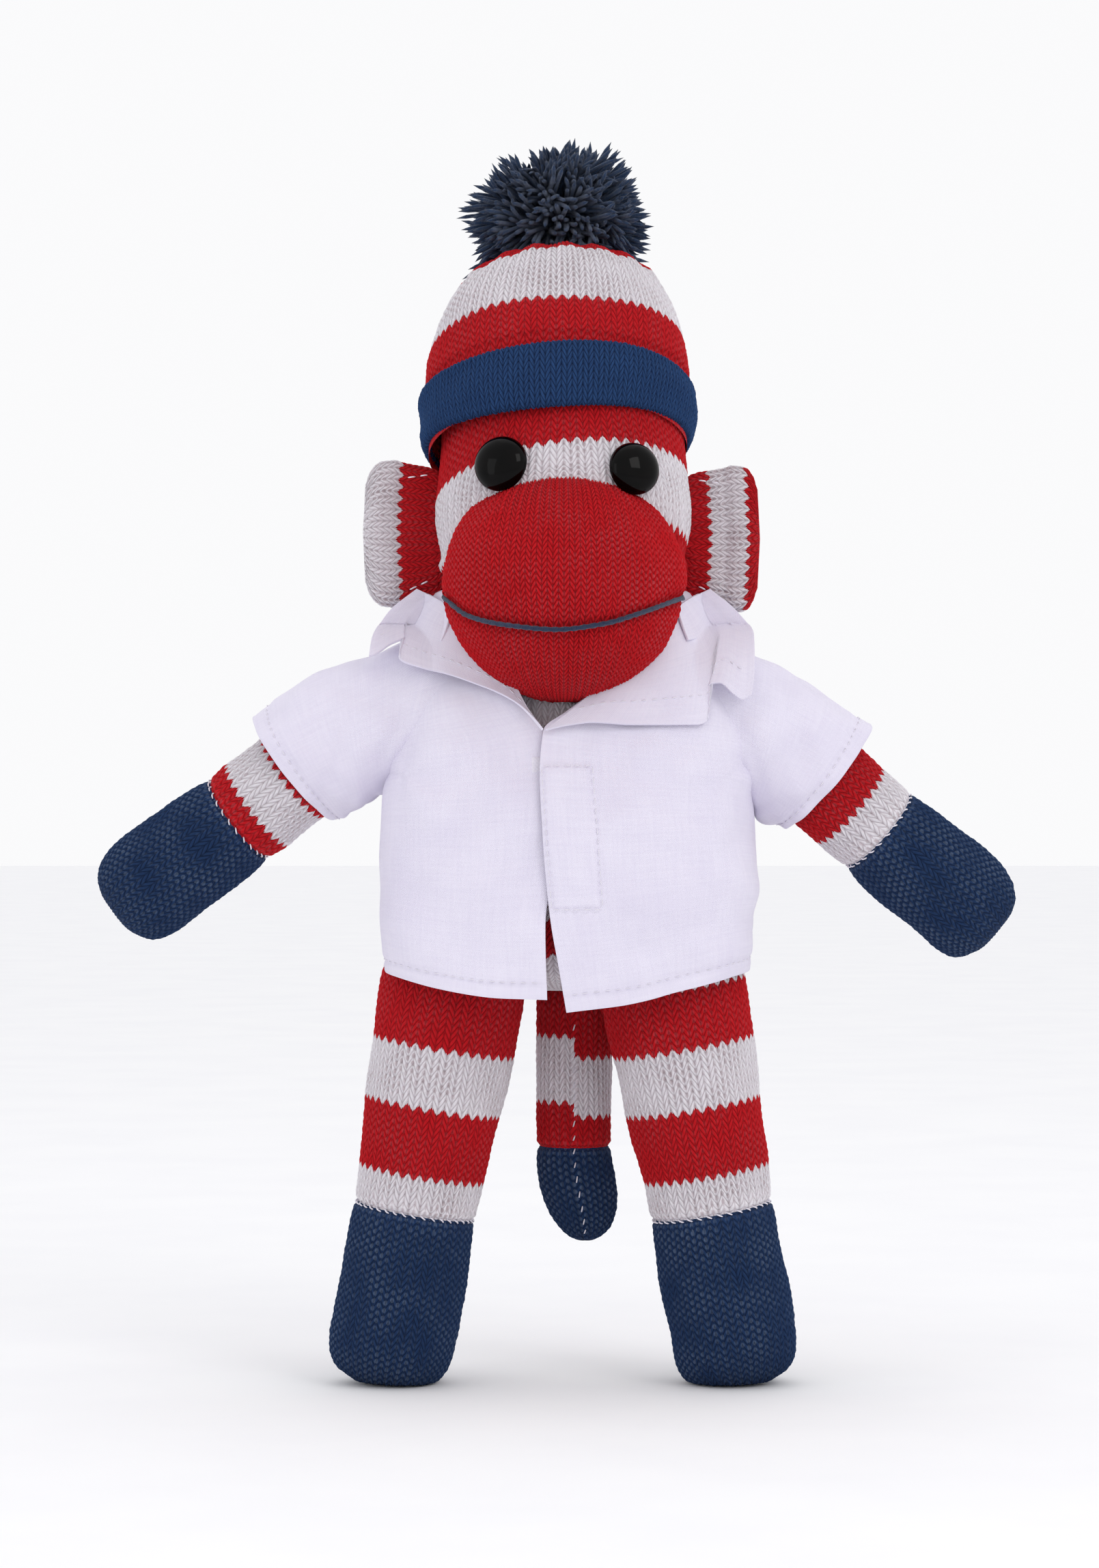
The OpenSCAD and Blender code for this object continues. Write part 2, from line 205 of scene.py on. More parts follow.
def knit_piece(name, surface, wales, length, palette, colour, course=COURSE, relief=RELIEF,
               ends=3.0):
    """A closed tube of stocking stitch.

    surface(turn, along) gives points for a fraction of a turn and a length along the cloth.
    colour(along, turn) gives an index into the palette of materials for each stitch.
    The stitches and their relief fade out over `ends` courses at both ends.
    """
    courses = max(4, int(round(length / course)))
    cols, rows = STITCH_COLS * wales, STITCH_ROWS * courses + 1
    u = np.arange(cols) / STITCH_COLS
    side = np.abs((u + 0.5) % 1 - 0.5)[None, :]
    p = (np.arange(rows) / STITCH_ROWS)[:, None]
    fade = ease(np.minimum(p, courses - p) / ends)
    slant = 2 * LEG_RISE * (side - 0.25) * fade
    v = p - slant
    along = v * length / courses
    turn = np.broadcast_to(u / wales, (rows, cols))
    smooth = surface(turn, along)
    band = np.array([0.0, 0.72, 1.0, 0.72])[np.arange(rows) % STITCH_ROWS][:, None]
    hump = np.interp(side, [0, 0.125, 0.25, 0.375, 0.5], [0.3, 0.85, 1.0, 0.85, 0.3])
    height = hump * (0.3 + 0.7 * band)
    hole = (band == 0) & ((side < 0.01) | (side > 0.49))
    height = np.where(hole, -0.35, height)
    rng = np.random.default_rng(len(name) * 31 + wales)
    uneven = rng.normal(1, 0.1, (courses + 1, wales * 2))
    which = np.ix_(np.minimum(np.arange(rows) // STITCH_ROWS, courses), np.arange(cols) // 4)
    height = (height * uneven[which] - 1) * relief * fade
    outward = normals_of(smooth, True)
    centre = smooth.mean(axis=1, keepdims=True)
    inside_out = np.sum((smooth - centre) * outward) < 0
    if inside_out:
        outward = -outward
    points = smooth + outward * height[:, :, None]
    faces, corner_c, corner_r, r, c = grid_faces(rows, cols, True, inside_out)
    uv = np.stack([corner_c / STITCH_COLS, corner_r / STITCH_ROWS], 2)
    # the tip of each stitch is covered by the next course, which blunts the stripes' teeth
    here = np.abs(((c + 0.5) / STITCH_COLS + 0.5) % 1 - 0.5)
    climb = -2 * LEG_RISE * (here - 0.25)
    shift = climb - np.clip(climb, -0.25, 0.25)
    which_course = np.floor((r + 0.5) / STITCH_ROWS + shift)
    index = colour((which_course + 0.5) * length / courses, (c + 0.5) / cols)
    return mesh_piece(name, points.reshape(-1, 3), faces, palette, index, uv)


def stripes(edges, colours):
    """Colour by length along the cloth: colours change at the edges."""
    edges, colours = np.asarray(edges, float), np.asarray(colours)
    return lambda along, turn: colours[np.searchsorted(edges, along)]


class Tube:
    """A stuffed tube on a straight axis, from keys of distance, half widths and bow.

    `a` is the half width sideways and `b` in depth. `bow` draws the sides back at a sewn end.
    """

    def __init__(self, origin, direction, side, keys, seed=1, lumps=0.35):
        self.origin = np.asarray(origin, float)
        self.t = unit(direction)
        self.s = unit(np.asarray(side) - np.dot(side, self.t) * self.t)
        self.d = np.cross(self.t, self.s)
        keys = np.asarray(keys, float)
        x = np.unique(np.concatenate([np.linspace(keys[0, 0], keys[-1, 0], 400), keys[:, 0]]))
        a, b, bow_at = curve(keys, x)
        self.x, self.a, self.b, self.bow = x, a, b, bow_at
        step = np.hypot(np.diff(x), np.diff(np.maximum(a, b)))
        self.arc = np.concatenate([[0], np.cumsum(np.maximum(step, 1e-6))])
        self.length = self.arc[-1]
        self.seed, self.lumps = seed, lumps
        self.extra = None

    def along(self, x):
        return np.interp(x, self.x, self.arc)

    def surface(self, turn, along):
        x = np.interp(along, self.arc, self.x)
        a = np.interp(along, self.arc, self.a)
        b = np.interp(along, self.arc, self.b)
        bow = np.interp(along, self.arc, self.bow)
        cos, sin = np.cos(2 * math.pi * turn), np.sin(2 * math.pi * turn)
        quiet = ease(np.minimum(along, self.length - along) / 6)
        lump = self.lumps * quiet * wave_round(self.seed, turn, along, 22)
        reach = x - bow * cos**4
        p = (self.origin + reach[..., None] * self.t
             + ((a + lump) * cos)[..., None] * self.s + ((b + lump) * sin)[..., None] * self.d)
        if self.extra is not None:
            p = self.extra(p, turn, along)
        return p


def round_end(x0, x1, a, b, a_end, bow, steps=12, power=1.0):
    """Keys of a sewn round end from x0 to x1, which closes on a seam 2 * a_end wide."""
    rows = []
    for i in range(1, steps + 1):
        q = math.pi / 2 * i / steps
        rows.append([x0 + (x1 - x0) * math.sin(q), a_end + (a - a_end) * math.cos(q) ** power,
                     b * math.cos(q) ** 0.9 if i < steps else 0.0, bow * math.sin(q) ** 3])
    return rows


def round_start(x0, x1, a, b, steps=10):
    rows = []
    for i in range(steps):
        q = math.pi / 2 * i / steps
        rows.append([x0 + (x1 - x0) * (1 - math.cos(q)), a * math.sin(q), b * math.sin(q), 0])
    return rows


# ---------- materials ----------


class Nodes:
    """Short names for building a node tree."""

    def __init__(self, name):
        self.mat = bpy.data.materials.new(name)
        self.mat.use_nodes = True
        self.tree = self.mat.node_tree
        self.shader = self.tree.nodes["Principled BSDF"]

    def add(self, kind, **values):
        node = self.tree.nodes.new(kind)
        for key, value in values.items():
            setattr(node, key, value)
        return node

    def join(self, a, b):
        self.tree.links.new(a, b)

    def feed(self, socket, value):
        if hasattr(value, "is_linked"):
            self.join(value, socket)
        else:
            socket.default_value = value

    def math(self, op, a, b=0.0, c=0.0, clamp=False):
        node = self.add("ShaderNodeMath", operation=op, use_clamp=clamp)
        for socket, value in zip(node.inputs, (a, b, c)):
            self.feed(socket, value)
        return node.outputs[0]

    def step(self, value, low, high):
        node = self.add("ShaderNodeMapRange", interpolation_type="SMOOTHSTEP")
        self.feed(node.inputs["Value"], value)
        node.inputs["From Min"].default_value = low
        node.inputs["From Max"].default_value = high
        return node.outputs["Result"]

    def mix(self, factor, a, b):
        node = self.add("ShaderNodeMix", data_type="RGBA")
        self.feed(node.inputs["Factor"], factor)
        self.feed(node.inputs[6], a)
        self.feed(node.inputs[7], b)
        return node.outputs[2]

    def combine(self, x, y, z=0.0):
        node = self.add("ShaderNodeCombineXYZ")
        for socket, value in zip(node.inputs, (x, y, z)):
            self.feed(socket, value)
        return node.outputs[0]

    def noise(self, vector, scale, detail=2.0, rough=0.5):
        node = self.add("ShaderNodeTexNoise")
        self.join(vector, node.inputs["Vector"])
        node.inputs["Scale"].default_value = scale
        node.inputs["Detail"].default_value = detail
        node.inputs["Roughness"].default_value = rough
        return node.outputs["Fac"]

    def place(self):
        """Position on the piece, in millimetres."""
        coord = self.add("ShaderNodeTexCoord")
        scale = self.add("ShaderNodeVectorMath", operation="SCALE")
        self.join(coord.outputs["Object"], scale.inputs[0])
        scale.inputs["Scale"].default_value = 1 / MM
        return scale.outputs[0]

    def cloth_uv(self):
        node = self.add("ShaderNodeUVMap", uv_map="cloth")
        parts = self.add("ShaderNodeSeparateXYZ")
        self.join(node.outputs[0], parts.inputs[0])
        return parts.outputs[0], parts.outputs[1]

    def bump(self, height, distance, strength=1.0, normal=None):
        node = self.add("ShaderNodeBump")
        self.join(height, node.inputs["Height"])
        node.inputs["Distance"].default_value = distance * MM
        node.inputs["Strength"].default_value = strength
        if normal is not None:
            self.join(normal, node.inputs["Normal"])
        return node.outputs[0]

    def finish(self, colour=None, rough=None, normal=None, **plain):
        if colour is not None:
            self.feed(self.shader.inputs["Base Color"], colour)
        if rough is not None:
            self.feed(self.shader.inputs["Roughness"], rough)
        if normal is not None:
            self.join(normal, self.shader.inputs["Normal"])
        for key, value in plain.items():
            self.shader.inputs[key.replace("_", " ")].default_value = value
        return self.mat


def rgb(hexcode):
    """Linear colour of an sRGB hex code."""
    out = []
    for i in (0, 2, 4):
        c = int(hexcode[i:i + 2], 16) / 255
        out.append(c / 12.92 if c <= 0.04045 else ((c + 0.055) / 1.055) ** 2.4)
    return (*out, 1.0)


def knit_material(name, base, groove_shade, hole, light, hole_amount=0.8, fibre=0.35):
    """Stocking stitch: legs of yarn with fibres along them, grooves between them painted darker as
    painted shade, and small holes.
    """
    n = Nodes(name)
    u, p = n.cloth_uv()
    s = n.math("PINGPONG", u, 0.5)
    phase = n.math("FRACT", p)
    place = n.place()
    # grooves between the legs of the stitches: painted shade, the colour is darkened there; the
    # same mask also sinks the bump
    groove_at = n.math("PINGPONG", phase, 0.5)
    open_groove = n.step(groove_at, 0.24, 0.0)
    edge = n.math("MINIMUM", s, n.math("SUBTRACT", 0.5, s))
    crease = n.step(edge, 0.1, 0.0)
    dark = n.math("MAXIMUM", open_groove, n.math("MULTIPLY", crease, 0.75))
    # fibres run along the legs
    fibres = n.noise(n.combine(n.math("MULTIPLY", u, 2.2), n.math("MULTIPLY", p, 13.0),
                               n.math("MULTIPLY", s, 1.0)), 1.0, 3.0, 0.65)
    patch = n.noise(place, 0.09, 2.0, 0.5)
    fuzz = n.noise(place, 2.6, 3.0, 0.7)
    tone = n.mix(n.step(fibres, 0.3, 0.75), base, light)
    tone = n.mix(n.math("MULTIPLY", n.step(patch, 0.35, 0.75), 0.15), tone, light)
    # painted shade: the grooves and creases are painted in a darker colour of the yarn
    tone = n.mix(n.math("MULTIPLY", dark, 0.62), tone, groove_shade)
    # small holes: paler where the stuffing shows through, and darker in the white knit and the
    # cuff, which is painted shade in the holes
    slant = n.math("ADD", p, n.math("MULTIPLY", s, -2 * LEG_RISE))
    near_side = n.math("GREATER_THAN", s, 0.25)
    row = n.math("FRACT", n.math("ADD", slant, n.math("MULTIPLY", near_side, 0.5)))
    down = n.math("MULTIPLY", n.math("PINGPONG", row, 0.5), COURSE / 0.62)
    over = n.math("MULTIPLY", edge, WALE / 0.48)
    reach = n.math("ADD", n.math("MULTIPLY", down, down), n.math("MULTIPLY", over, over))
    shown = n.step(n.noise(place, 0.11, 2.0, 0.6), 0.25, 0.75)
    spot = n.math("MULTIPLY", n.step(reach, 1.25, 0.45), n.math("MULTIPLY", shown, hole_amount))
    tone = n.mix(spot, tone, hole)
    height = n.math("ADD", n.math("MULTIPLY", fibres, 0.7), n.math("MULTIPLY", fuzz, 0.5))
    height = n.math("SUBTRACT", height, n.math("MULTIPLY", dark, 0.6))
    height = n.math("SUBTRACT", height, n.math("MULTIPLY", spot, 0.8))
    return n.finish(tone, 0.88, n.bump(height, fibre), Sheen_Weight=0.35, Sheen_Roughness=0.4,
                    Specular_IOR_Level=0.25, Sheen_Tint=light)


def yarn_material(name, base, light, twist=3.2):
    """Twisted yarn: fine fibres wound round the strand."""
    n = Nodes(name)
    u, v = n.cloth_uv()
    wound = n.combine(n.math("MULTIPLY", n.math("ADD", n.math("MULTIPLY", v, twist), u), 6.0),
                      n.math("MULTIPLY", v, 0.6))
    fibres = n.noise(wound, 1.6, 4.0, 0.7)
    fuzz = n.noise(n.place(), 3.5, 2.0, 0.6)
    tone = n.mix(n.step(fibres, 0.3, 0.8), base, light)
    tone = n.mix(n.math("MULTIPLY", n.step(fuzz, 0.5, 0.8), 0.25), tone, light)
    height = n.math("ADD", fibres, n.math("MULTIPLY", fuzz, 0.4))
    return n.finish(tone, 0.9, n.bump(height, 0.25), Sheen_Weight=0.3, Sheen_Roughness=0.4,
                    Specular_IOR_Level=0.2)


def cotton_material(name, base, shade, thread=0.36, slub=0.5):
    """Plain woven cotton: warp and weft with slubs, in millimetres of cloth."""
    n = Nodes(name)
    u, v = n.cloth_uv()
    wander = n.noise(n.combine(u, v), 0.35, 2.0, 0.5)
    uu = n.math("ADD", u, n.math("MULTIPLY", wander, 0.5))
    vv = n.math("ADD", v, n.math("MULTIPLY", wander, 0.5))
    warp = n.math("SINE", n.math("MULTIPLY", uu, 2 * math.pi / thread))
    weft = n.math("SINE", n.math("MULTIPLY", vv, 2 * math.pi / thread))
    weave = n.math("MULTIPLY", warp, weft)
    fine, drawn_out = 1.9, 0.09  # a slub is short across the thread and long along it
    long_slub = n.noise(n.combine(n.math("MULTIPLY", u, fine), n.math("MULTIPLY", v, drawn_out)),
                        1.0, 3, 0.6)
    cross_slub = n.noise(n.combine(n.math("MULTIPLY", u, drawn_out), n.math("MULTIPLY", v, fine)),
                         1.0, 3, 0.6)
    slubs = n.math("ADD", n.math("MULTIPLY", long_slub, slub), n.math("MULTIPLY", cross_slub, slub))
    patch = n.noise(n.place(), 0.05, 2.0, 0.5)
    tone = n.mix(n.math("MULTIPLY", n.step(slubs, 0.35, 0.7), 0.4), base, shade)
    # painted shade: the dips of the weave, where its bump is low, are painted darker
    tone = n.mix(n.math("MULTIPLY", n.step(weave, 0.2, -0.9), 0.25), tone, shade)
    tone = n.mix(n.math("MULTIPLY", n.step(patch, 0.35, 0.75), 0.35), tone, shade)
    height = n.math("ADD", n.math("MULTIPLY", weave, 0.35), n.math("MULTIPLY", slubs, 1.2))
    return n.finish(tone, 0.85, n.bump(height, 0.06), Sheen_Weight=0.1, Sheen_Roughness=0.5,
                    Specular_IOR_Level=0.25)


def thread_material(name, base):
    n = Nodes(name)
    fuzz = n.noise(n.place(), 5.0, 2.0, 0.5)
    tone = n.mix(fuzz, base, tuple(c * 0.8 for c in base[:3]) + (1.0,))
    return n.finish(tone, 0.7, n.bump(fuzz, 0.08), Specular_IOR_Level=0.3)


def eye_material():
    """Glossy moulded black with faint polishing marks."""
    n = Nodes("eye_gloss")
    place = n.place()
    marks = n.noise(place, 0.9, 4.0, 0.6)
    rough = n.math("ADD", 0.06, n.math("MULTIPLY", marks, 0.03))
    tone = n.mix(n.step(n.noise(place, 0.3, 2.0, 0.5), 0.3, 0.8), rgb("020202"), rgb("070505"))
    return n.finish(tone, rough, n.bump(marks, 0.004), Specular_IOR_Level=0.1)


# name, yarn, painted shade in the grooves, holes (paler where the stuffing shows, darker as painted
# shade in the white and the cuff), highlights, and how much the holes show
KNIT_COLOURS = [
    ("knit_red", "c20413", "7c020d", "c04c53", "d01420", 0.55),
    ("knit_white", "f3edf5", "cfc0c8", "c4b0b6", "faf7fb", 0.75),
    ("knit_navy", "142c52", "081530", "64748e", "1d3a64", 0.6),
    ("cuff_navy", "1a3866", "081636", "0d1f40", "2b5082", 0.4),
    ("muzzle_red", "c60513", "7c020d", "cc5058", "d81420", 0.75),
]
RED, WHITE, NAVY, CUFF, MUZZLE = (
    knit_material(name, *map(rgb, colours), holes) for name, *colours, holes in KNIT_COLOURS)
YARN = yarn_material("yarn_navy", rgb("1a2a4a"), rgb("3d5678"))
MOUTH = yarn_material("yarn_mouth", rgb("1e2a44"), rgb("3a4866"), 1.6)
COTTON = cotton_material("cotton", rgb("e6e2f0"), rgb("d3cde2"))
TAPE = cotton_material("tape", rgb("e8e5ee"), rgb("d2cddd"), 0.9)
THREAD = thread_material("thread_white", rgb("eeeaf4"))
EYE = eye_material()

R, W, N = 0, 1, 2
KNIT = [RED, WHITE, NAVY]


def declare(obj, body, nodes=()):
    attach(obj, body)
    if nodes:
        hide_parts(*nodes)
    return obj


def wales_round(width, wale=WALE):
    return int(round(math.pi * width / wale))


# ---------- threads and yarns ----------


def strand_points(path, radius, sides=8, lobes=0.0, twist=0.0):
    """Rings of points of a strand along a path, with its faces' grid; two-ply where lobes > 0."""
    path = np.asarray(path, float)
    along = np.concatenate([[0], np.cumsum(np.linalg.norm(np.diff(path, axis=0), axis=1))])
    t = np.gradient(path, axis=0)
    t /= np.maximum(np.linalg.norm(t, axis=1, keepdims=True), 1e-9)
    ref = unit(np.array([0.31, 0.77, 0.55]) + 0.01)
    side = np.cross(t, ref)
    side /= np.maximum(np.linalg.norm(side, axis=1, keepdims=True), 1e-9)
    other = np.cross(t, side)
    angle = np.arange(sides) * 2 * math.pi / sides
    spin = along[:, None] * twist
    r = radius * (1 + lobes * np.cos(2 * (angle[None, :] - spin)))
    ends = np.minimum(along, along[-1] - along)
    r = r * np.clip(ends / radius + 0.05, 0, 1)[:, None] ** 0.5
    ring = (np.cos(angle)[None, :, None] * side[:, None, :]
            + np.sin(angle)[None, :, None] * other[:, None, :])
    return path[:, None, :] + ring * r[:, :, None], along


def strands(name, paths, radius, material, sides=8, lobes=0.0, twist=0.0):
    """Many strands as one piece."""
    points, faces, uvs, start = [], [], [], 0
    for path in paths:
        rings, along = strand_points(path, radius, sides, lobes, twist)
        quads, cc, cr, _, _ = grid_faces(len(rings), sides, True, True)
        points.append(rings.reshape(-1, 3))
        faces.append(quads + start)
        uvs.append(np.stack([cc / sides, along[cr]], 2))
        for ring, order in ((0, 1), (len(rings) - 1, -1)):
            centre = rings[ring].mean(axis=0)
            points.append(centre[None])
            hub = start + len(rings) * sides + (0 if ring == 0 else 1)
            ids = start + ring * sides + np.arange(sides)
            nxt = np.roll(ids, -1)
            cap = np.stack([ids, nxt, np.full(sides, hub), np.full(sides, hub)], 1)[:, ::order]
            faces.append(cap)
            uvs.append(np.zeros((sides, 4, 2)))
        start += len(rings) * sides + 2
    all_faces = np.concatenate(faces)
    quads = all_faces[:, 0] != all_faces[:, 1]
    return mesh_piece_mixed(name, np.concatenate(points), all_faces[quads],
                            np.concatenate(uvs)[quads], material)


def mesh_piece_mixed(name, points, faces, uvs, material):
    """Quads, with a repeated corner where a face is a triangle."""
    bm = bmesh.new()
    verts = [bm.verts.new(p) for p in np.asarray(points) * MM]
    layer = bm.loops.layers.uv.new("cloth")
    for face, uv in zip(faces, uvs):
        ids, keep = [], []
        for i, k in enumerate(face):
            if k not in ids:
                ids.append(k)
                keep.append(uv[i])
        if len(ids) < 3:
            continue
        f = bm.faces.new([verts[i] for i in ids])
        f.smooth = True
        for loop, at in zip(f.loops, keep):
            loop[layer].uv = at
    mesh = bpy.data.meshes.new(name)
    bm.to_mesh(mesh)
    bm.free()
    mesh.materials.append(material)
    return link(mesh, name)


def stitch_paths(line, out, length=1.6, gap=1.1, lift=0.25, slant=0.0, seed=5):
    """Short arched threads along a line of points; `out` are the outward directions there."""
    line, out = np.asarray(line, float), np.asarray(out, float)
    s = np.concatenate([[0], np.cumsum(np.linalg.norm(np.diff(line, axis=0), axis=1))])
    rng = np.random.default_rng(seed)
    paths, at = [], gap * 0.5
    while at + length < s[-1]:
        n = length * rng.uniform(0.85, 1.1)
        q = np.linspace(at, at + n, 7)
        p = np.stack([np.interp(q, s, line[:, k]) for k in range(3)], 1)
        o = np.stack([np.interp(q, s, out[:, k]) for k in range(3)], 1)
        o /= np.linalg.norm(o, axis=1, keepdims=True)
        arch = np.sin(np.linspace(0, math.pi, 7))[:, None]
        across = np.cross(p[-1] - p[0], o[3])
        across /= max(np.linalg.norm(across), 1e-9)
        lean = np.linspace(-0.5, 0.5, 7)[:, None] * slant
        paths.append(p + o * (lift * (2 * arch - 1)) + across * lean)
        at += n + gap * rng.uniform(0.8, 1.2)
    return paths


# ---------- limbs ----------

shoulder = {s: joint_at(SIDE_NAME[s] + "_shoulder") for s in (LEFT, RIGHT)}
hip = {s: joint_at(SIDE_NAME[s] + "_hip") for s in (LEFT, RIGHT)}
ARM_SLOPE = {LEFT: math.radians(40.5), RIGHT: math.radians(36.5)}
ARM_LEAN = math.radians(8)
SPLAY = math.radians(9.8)
WRIST, ARM_LEN = 48.0, 84.0
ANKLE = (92 - 38.9) / math.cos(SPLAY)
FOOT_END = 92 / math.cos(SPLAY) + 0.8
UP = np.array([0, 0, 1.0])
FRONT = np.array([0, -1.0, 0])


def arm_axis(side):
    slope = ARM_SLOPE[side]
    return np.array([side * math.cos(ARM_LEAN) * math.cos(slope), math.sin(ARM_LEAN),
                     -math.cos(ARM_LEAN) * math.sin(slope)])


def leg_axis(side):
    return np.array([side * math.sin(SPLAY), 0, -math.cos(SPLAY)])


def arm_side(side):
    """Direction across the arm in the plane of the face."""
    return np.cross(FRONT, arm_axis(side))


def on_floor(p, turn, along):
    z = p[..., 2]
    soft = 1.2
    p[..., 2] = np.where(z < soft, soft * np.exp(np.minimum(z - soft, 0) / soft) * (z > -40), z)
    p[..., 2] = np.where(z < soft, np.maximum(p[..., 2] - soft * math.exp(-2.2), 0), p[..., 2])
    return p


LEG_EDGES = {RIGHT: [-99, 1.7, 15.5, 29.7, 44.8, 99], LEFT: [-99, 2.4, 16.3, 30.5, 45.6, 99]}
ARM_EDGES = {RIGHT: [19.0, 32.5, 43.0], LEFT: [25.0, 38.6, 60.0]}


def leg(side):
    name = SIDE_NAME[side]
    keys = round_start(-15, 0, 16.2, 16.2) + [
        [0, 16.2, 16.2, 0], [8, 16.5, 16.3, 0], [20, 16.0, 15.9, 0], [34, 15.1, 15.2, 0],
        [46, 14.2, 14.4, 0], [ANKLE - 1.6, 13.9, 14.0, 0], [ANKLE - 0.4, 13.1, 13.2, 0],
        [ANKLE + 0.8, 11.9, 12.0, 0]]
    tube = Tube(hip[side], leg_axis(side), [side, 0, 0], keys, seed=3 + side)
    edges = LEG_EDGES[side]
    cuts = [tube.along(x) for x in edges[1:-1]]
    colour = stripes(cuts, [W, R, W, R, W][: len(cuts) + 1])
    obj = knit_piece(f"{name}_leg_knit", tube.surface, wales_round(2 * 15.2), tube.length, KNIT,
                     colour)
    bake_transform(obj)
    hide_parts(f"{name}_leg_cover", f"{name}_leg_stuffing")

    keys = [[ANKLE - 0.8, 11.9, 12.0, 0], [ANKLE + 0.2, 13.1, 13.2, 0],
            [ANKLE + 1.2, 13.8, 13.9, 0], [ANKLE + 8, 14.2, 14.2, 0], [ANKLE + 20, 14.4, 14.5, 0],
            [FOOT_END - 12, 14.2, 14.6, 0]]
    keys += round_end(FOOT_END - 12, FOOT_END, 14.2, 14.6, 7.0, 1.5, power=0.85)
    tube = Tube(hip[side], leg_axis(side), [side, 0, 0], keys, seed=13 + side)
    tube.extra = on_floor
    foot = knit_piece(f"{name}_foot_knit", tube.surface, wales_round(2 * 14.4), tube.length, KNIT,
                      stripes([], [N]))
    declare(foot, f"{name}_leg", [f"{name}_foot_cover"])

    seam_stitches(f"{name}_foot_stitches", hip[side], leg_axis(side), [side, 0, 0], ANKLE, 13.2,
                  13.3, f"{name}_leg", 2.3)


def seam_stitches(name, origin, axis, side, at, a, b, body, spacing):
    """White thread that whips two knits together round a tube."""
    t = unit(axis)
    s = unit(np.asarray(side) - np.dot(side, t) * t)
    d = np.cross(t, s)
    q = np.linspace(0, 2 * math.pi, 200)
    out = np.cos(q)[:, None] * s + np.sin(q)[:, None] * d
    line = origin + t * at + np.cos(q)[:, None] * s * a + np.sin(q)[:, None] * d * b
    paths = stitch_paths(line, out, 1.5, spacing - 1.5, 0.35, 0, seed=len(name))
    leaned = []
    for p in paths:
        n = len(p)
        leaned.append(p + np.linspace(0.45, -0.45, n)[:, None] * t)
    obj = strands(name, leaned, WHIP_R, THREAD, sides=6)
    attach(obj, body)
    return obj


def arm(side):
    name = SIDE_NAME[side]
    keys = round_start(-9.0, 0, 8.8, 8.8) + [
        [0, 8.8, 8.8, 0], [10, 9.8, 9.8, 0], [22, 11.4, 11.4, 0], [WRIST - 6, 11.5, 11.4, 0],
        [WRIST - 1.4, 11.2, 11.2, 0], [WRIST - 0.3, 10.5, 10.5, 0], [WRIST + 0.8, 9.4, 9.4, 0]]
    tube = Tube(shoulder[side], arm_axis(side), arm_side(side), keys, seed=23 + side)
    cuts = [tube.along(x) for x in ARM_EDGES[side]]
    colour = stripes(cuts, [W, R, W, R])
    obj = knit_piece(f"{name}_arm_knit", tube.surface, wales_round(2 * 11.4), tube.length, KNIT,
                     colour)
    declare(obj, f"{name}_arm",
            [f"{name}_arm_cover", f"{name}_arm_stuffing"])
    keys = [[WRIST - 0.8, 9.4, 9.4, 0], [WRIST + 0.2, 10.5, 10.5, 0], [WRIST + 1.3, 11.3, 11.3, 0],
            [WRIST + 10, 12.2, 12.0, 0], [ARM_LEN - 11, 12.3, 12.0, 0]]
    keys += round_end(ARM_LEN - 11, ARM_LEN, 12.3, 12.0, 5.5, 1.2, power=0.85)
    tube = Tube(shoulder[side], arm_axis(side), arm_side(side), keys, seed=33 + side)
    hand = knit_piece(f"{name}_hand_knit", tube.surface, wales_round(2 * 12.2), tube.length, KNIT,
                      stripes([], [N]))
    declare(hand, f"{name}_arm", [f"{name}_hand_cover"])
    seam_stitches(f"{name}_hand_stitches", shoulder[side], arm_axis(side), arm_side(side), WRIST,
                  10.6, 10.6, f"{name}_arm", 2.6)


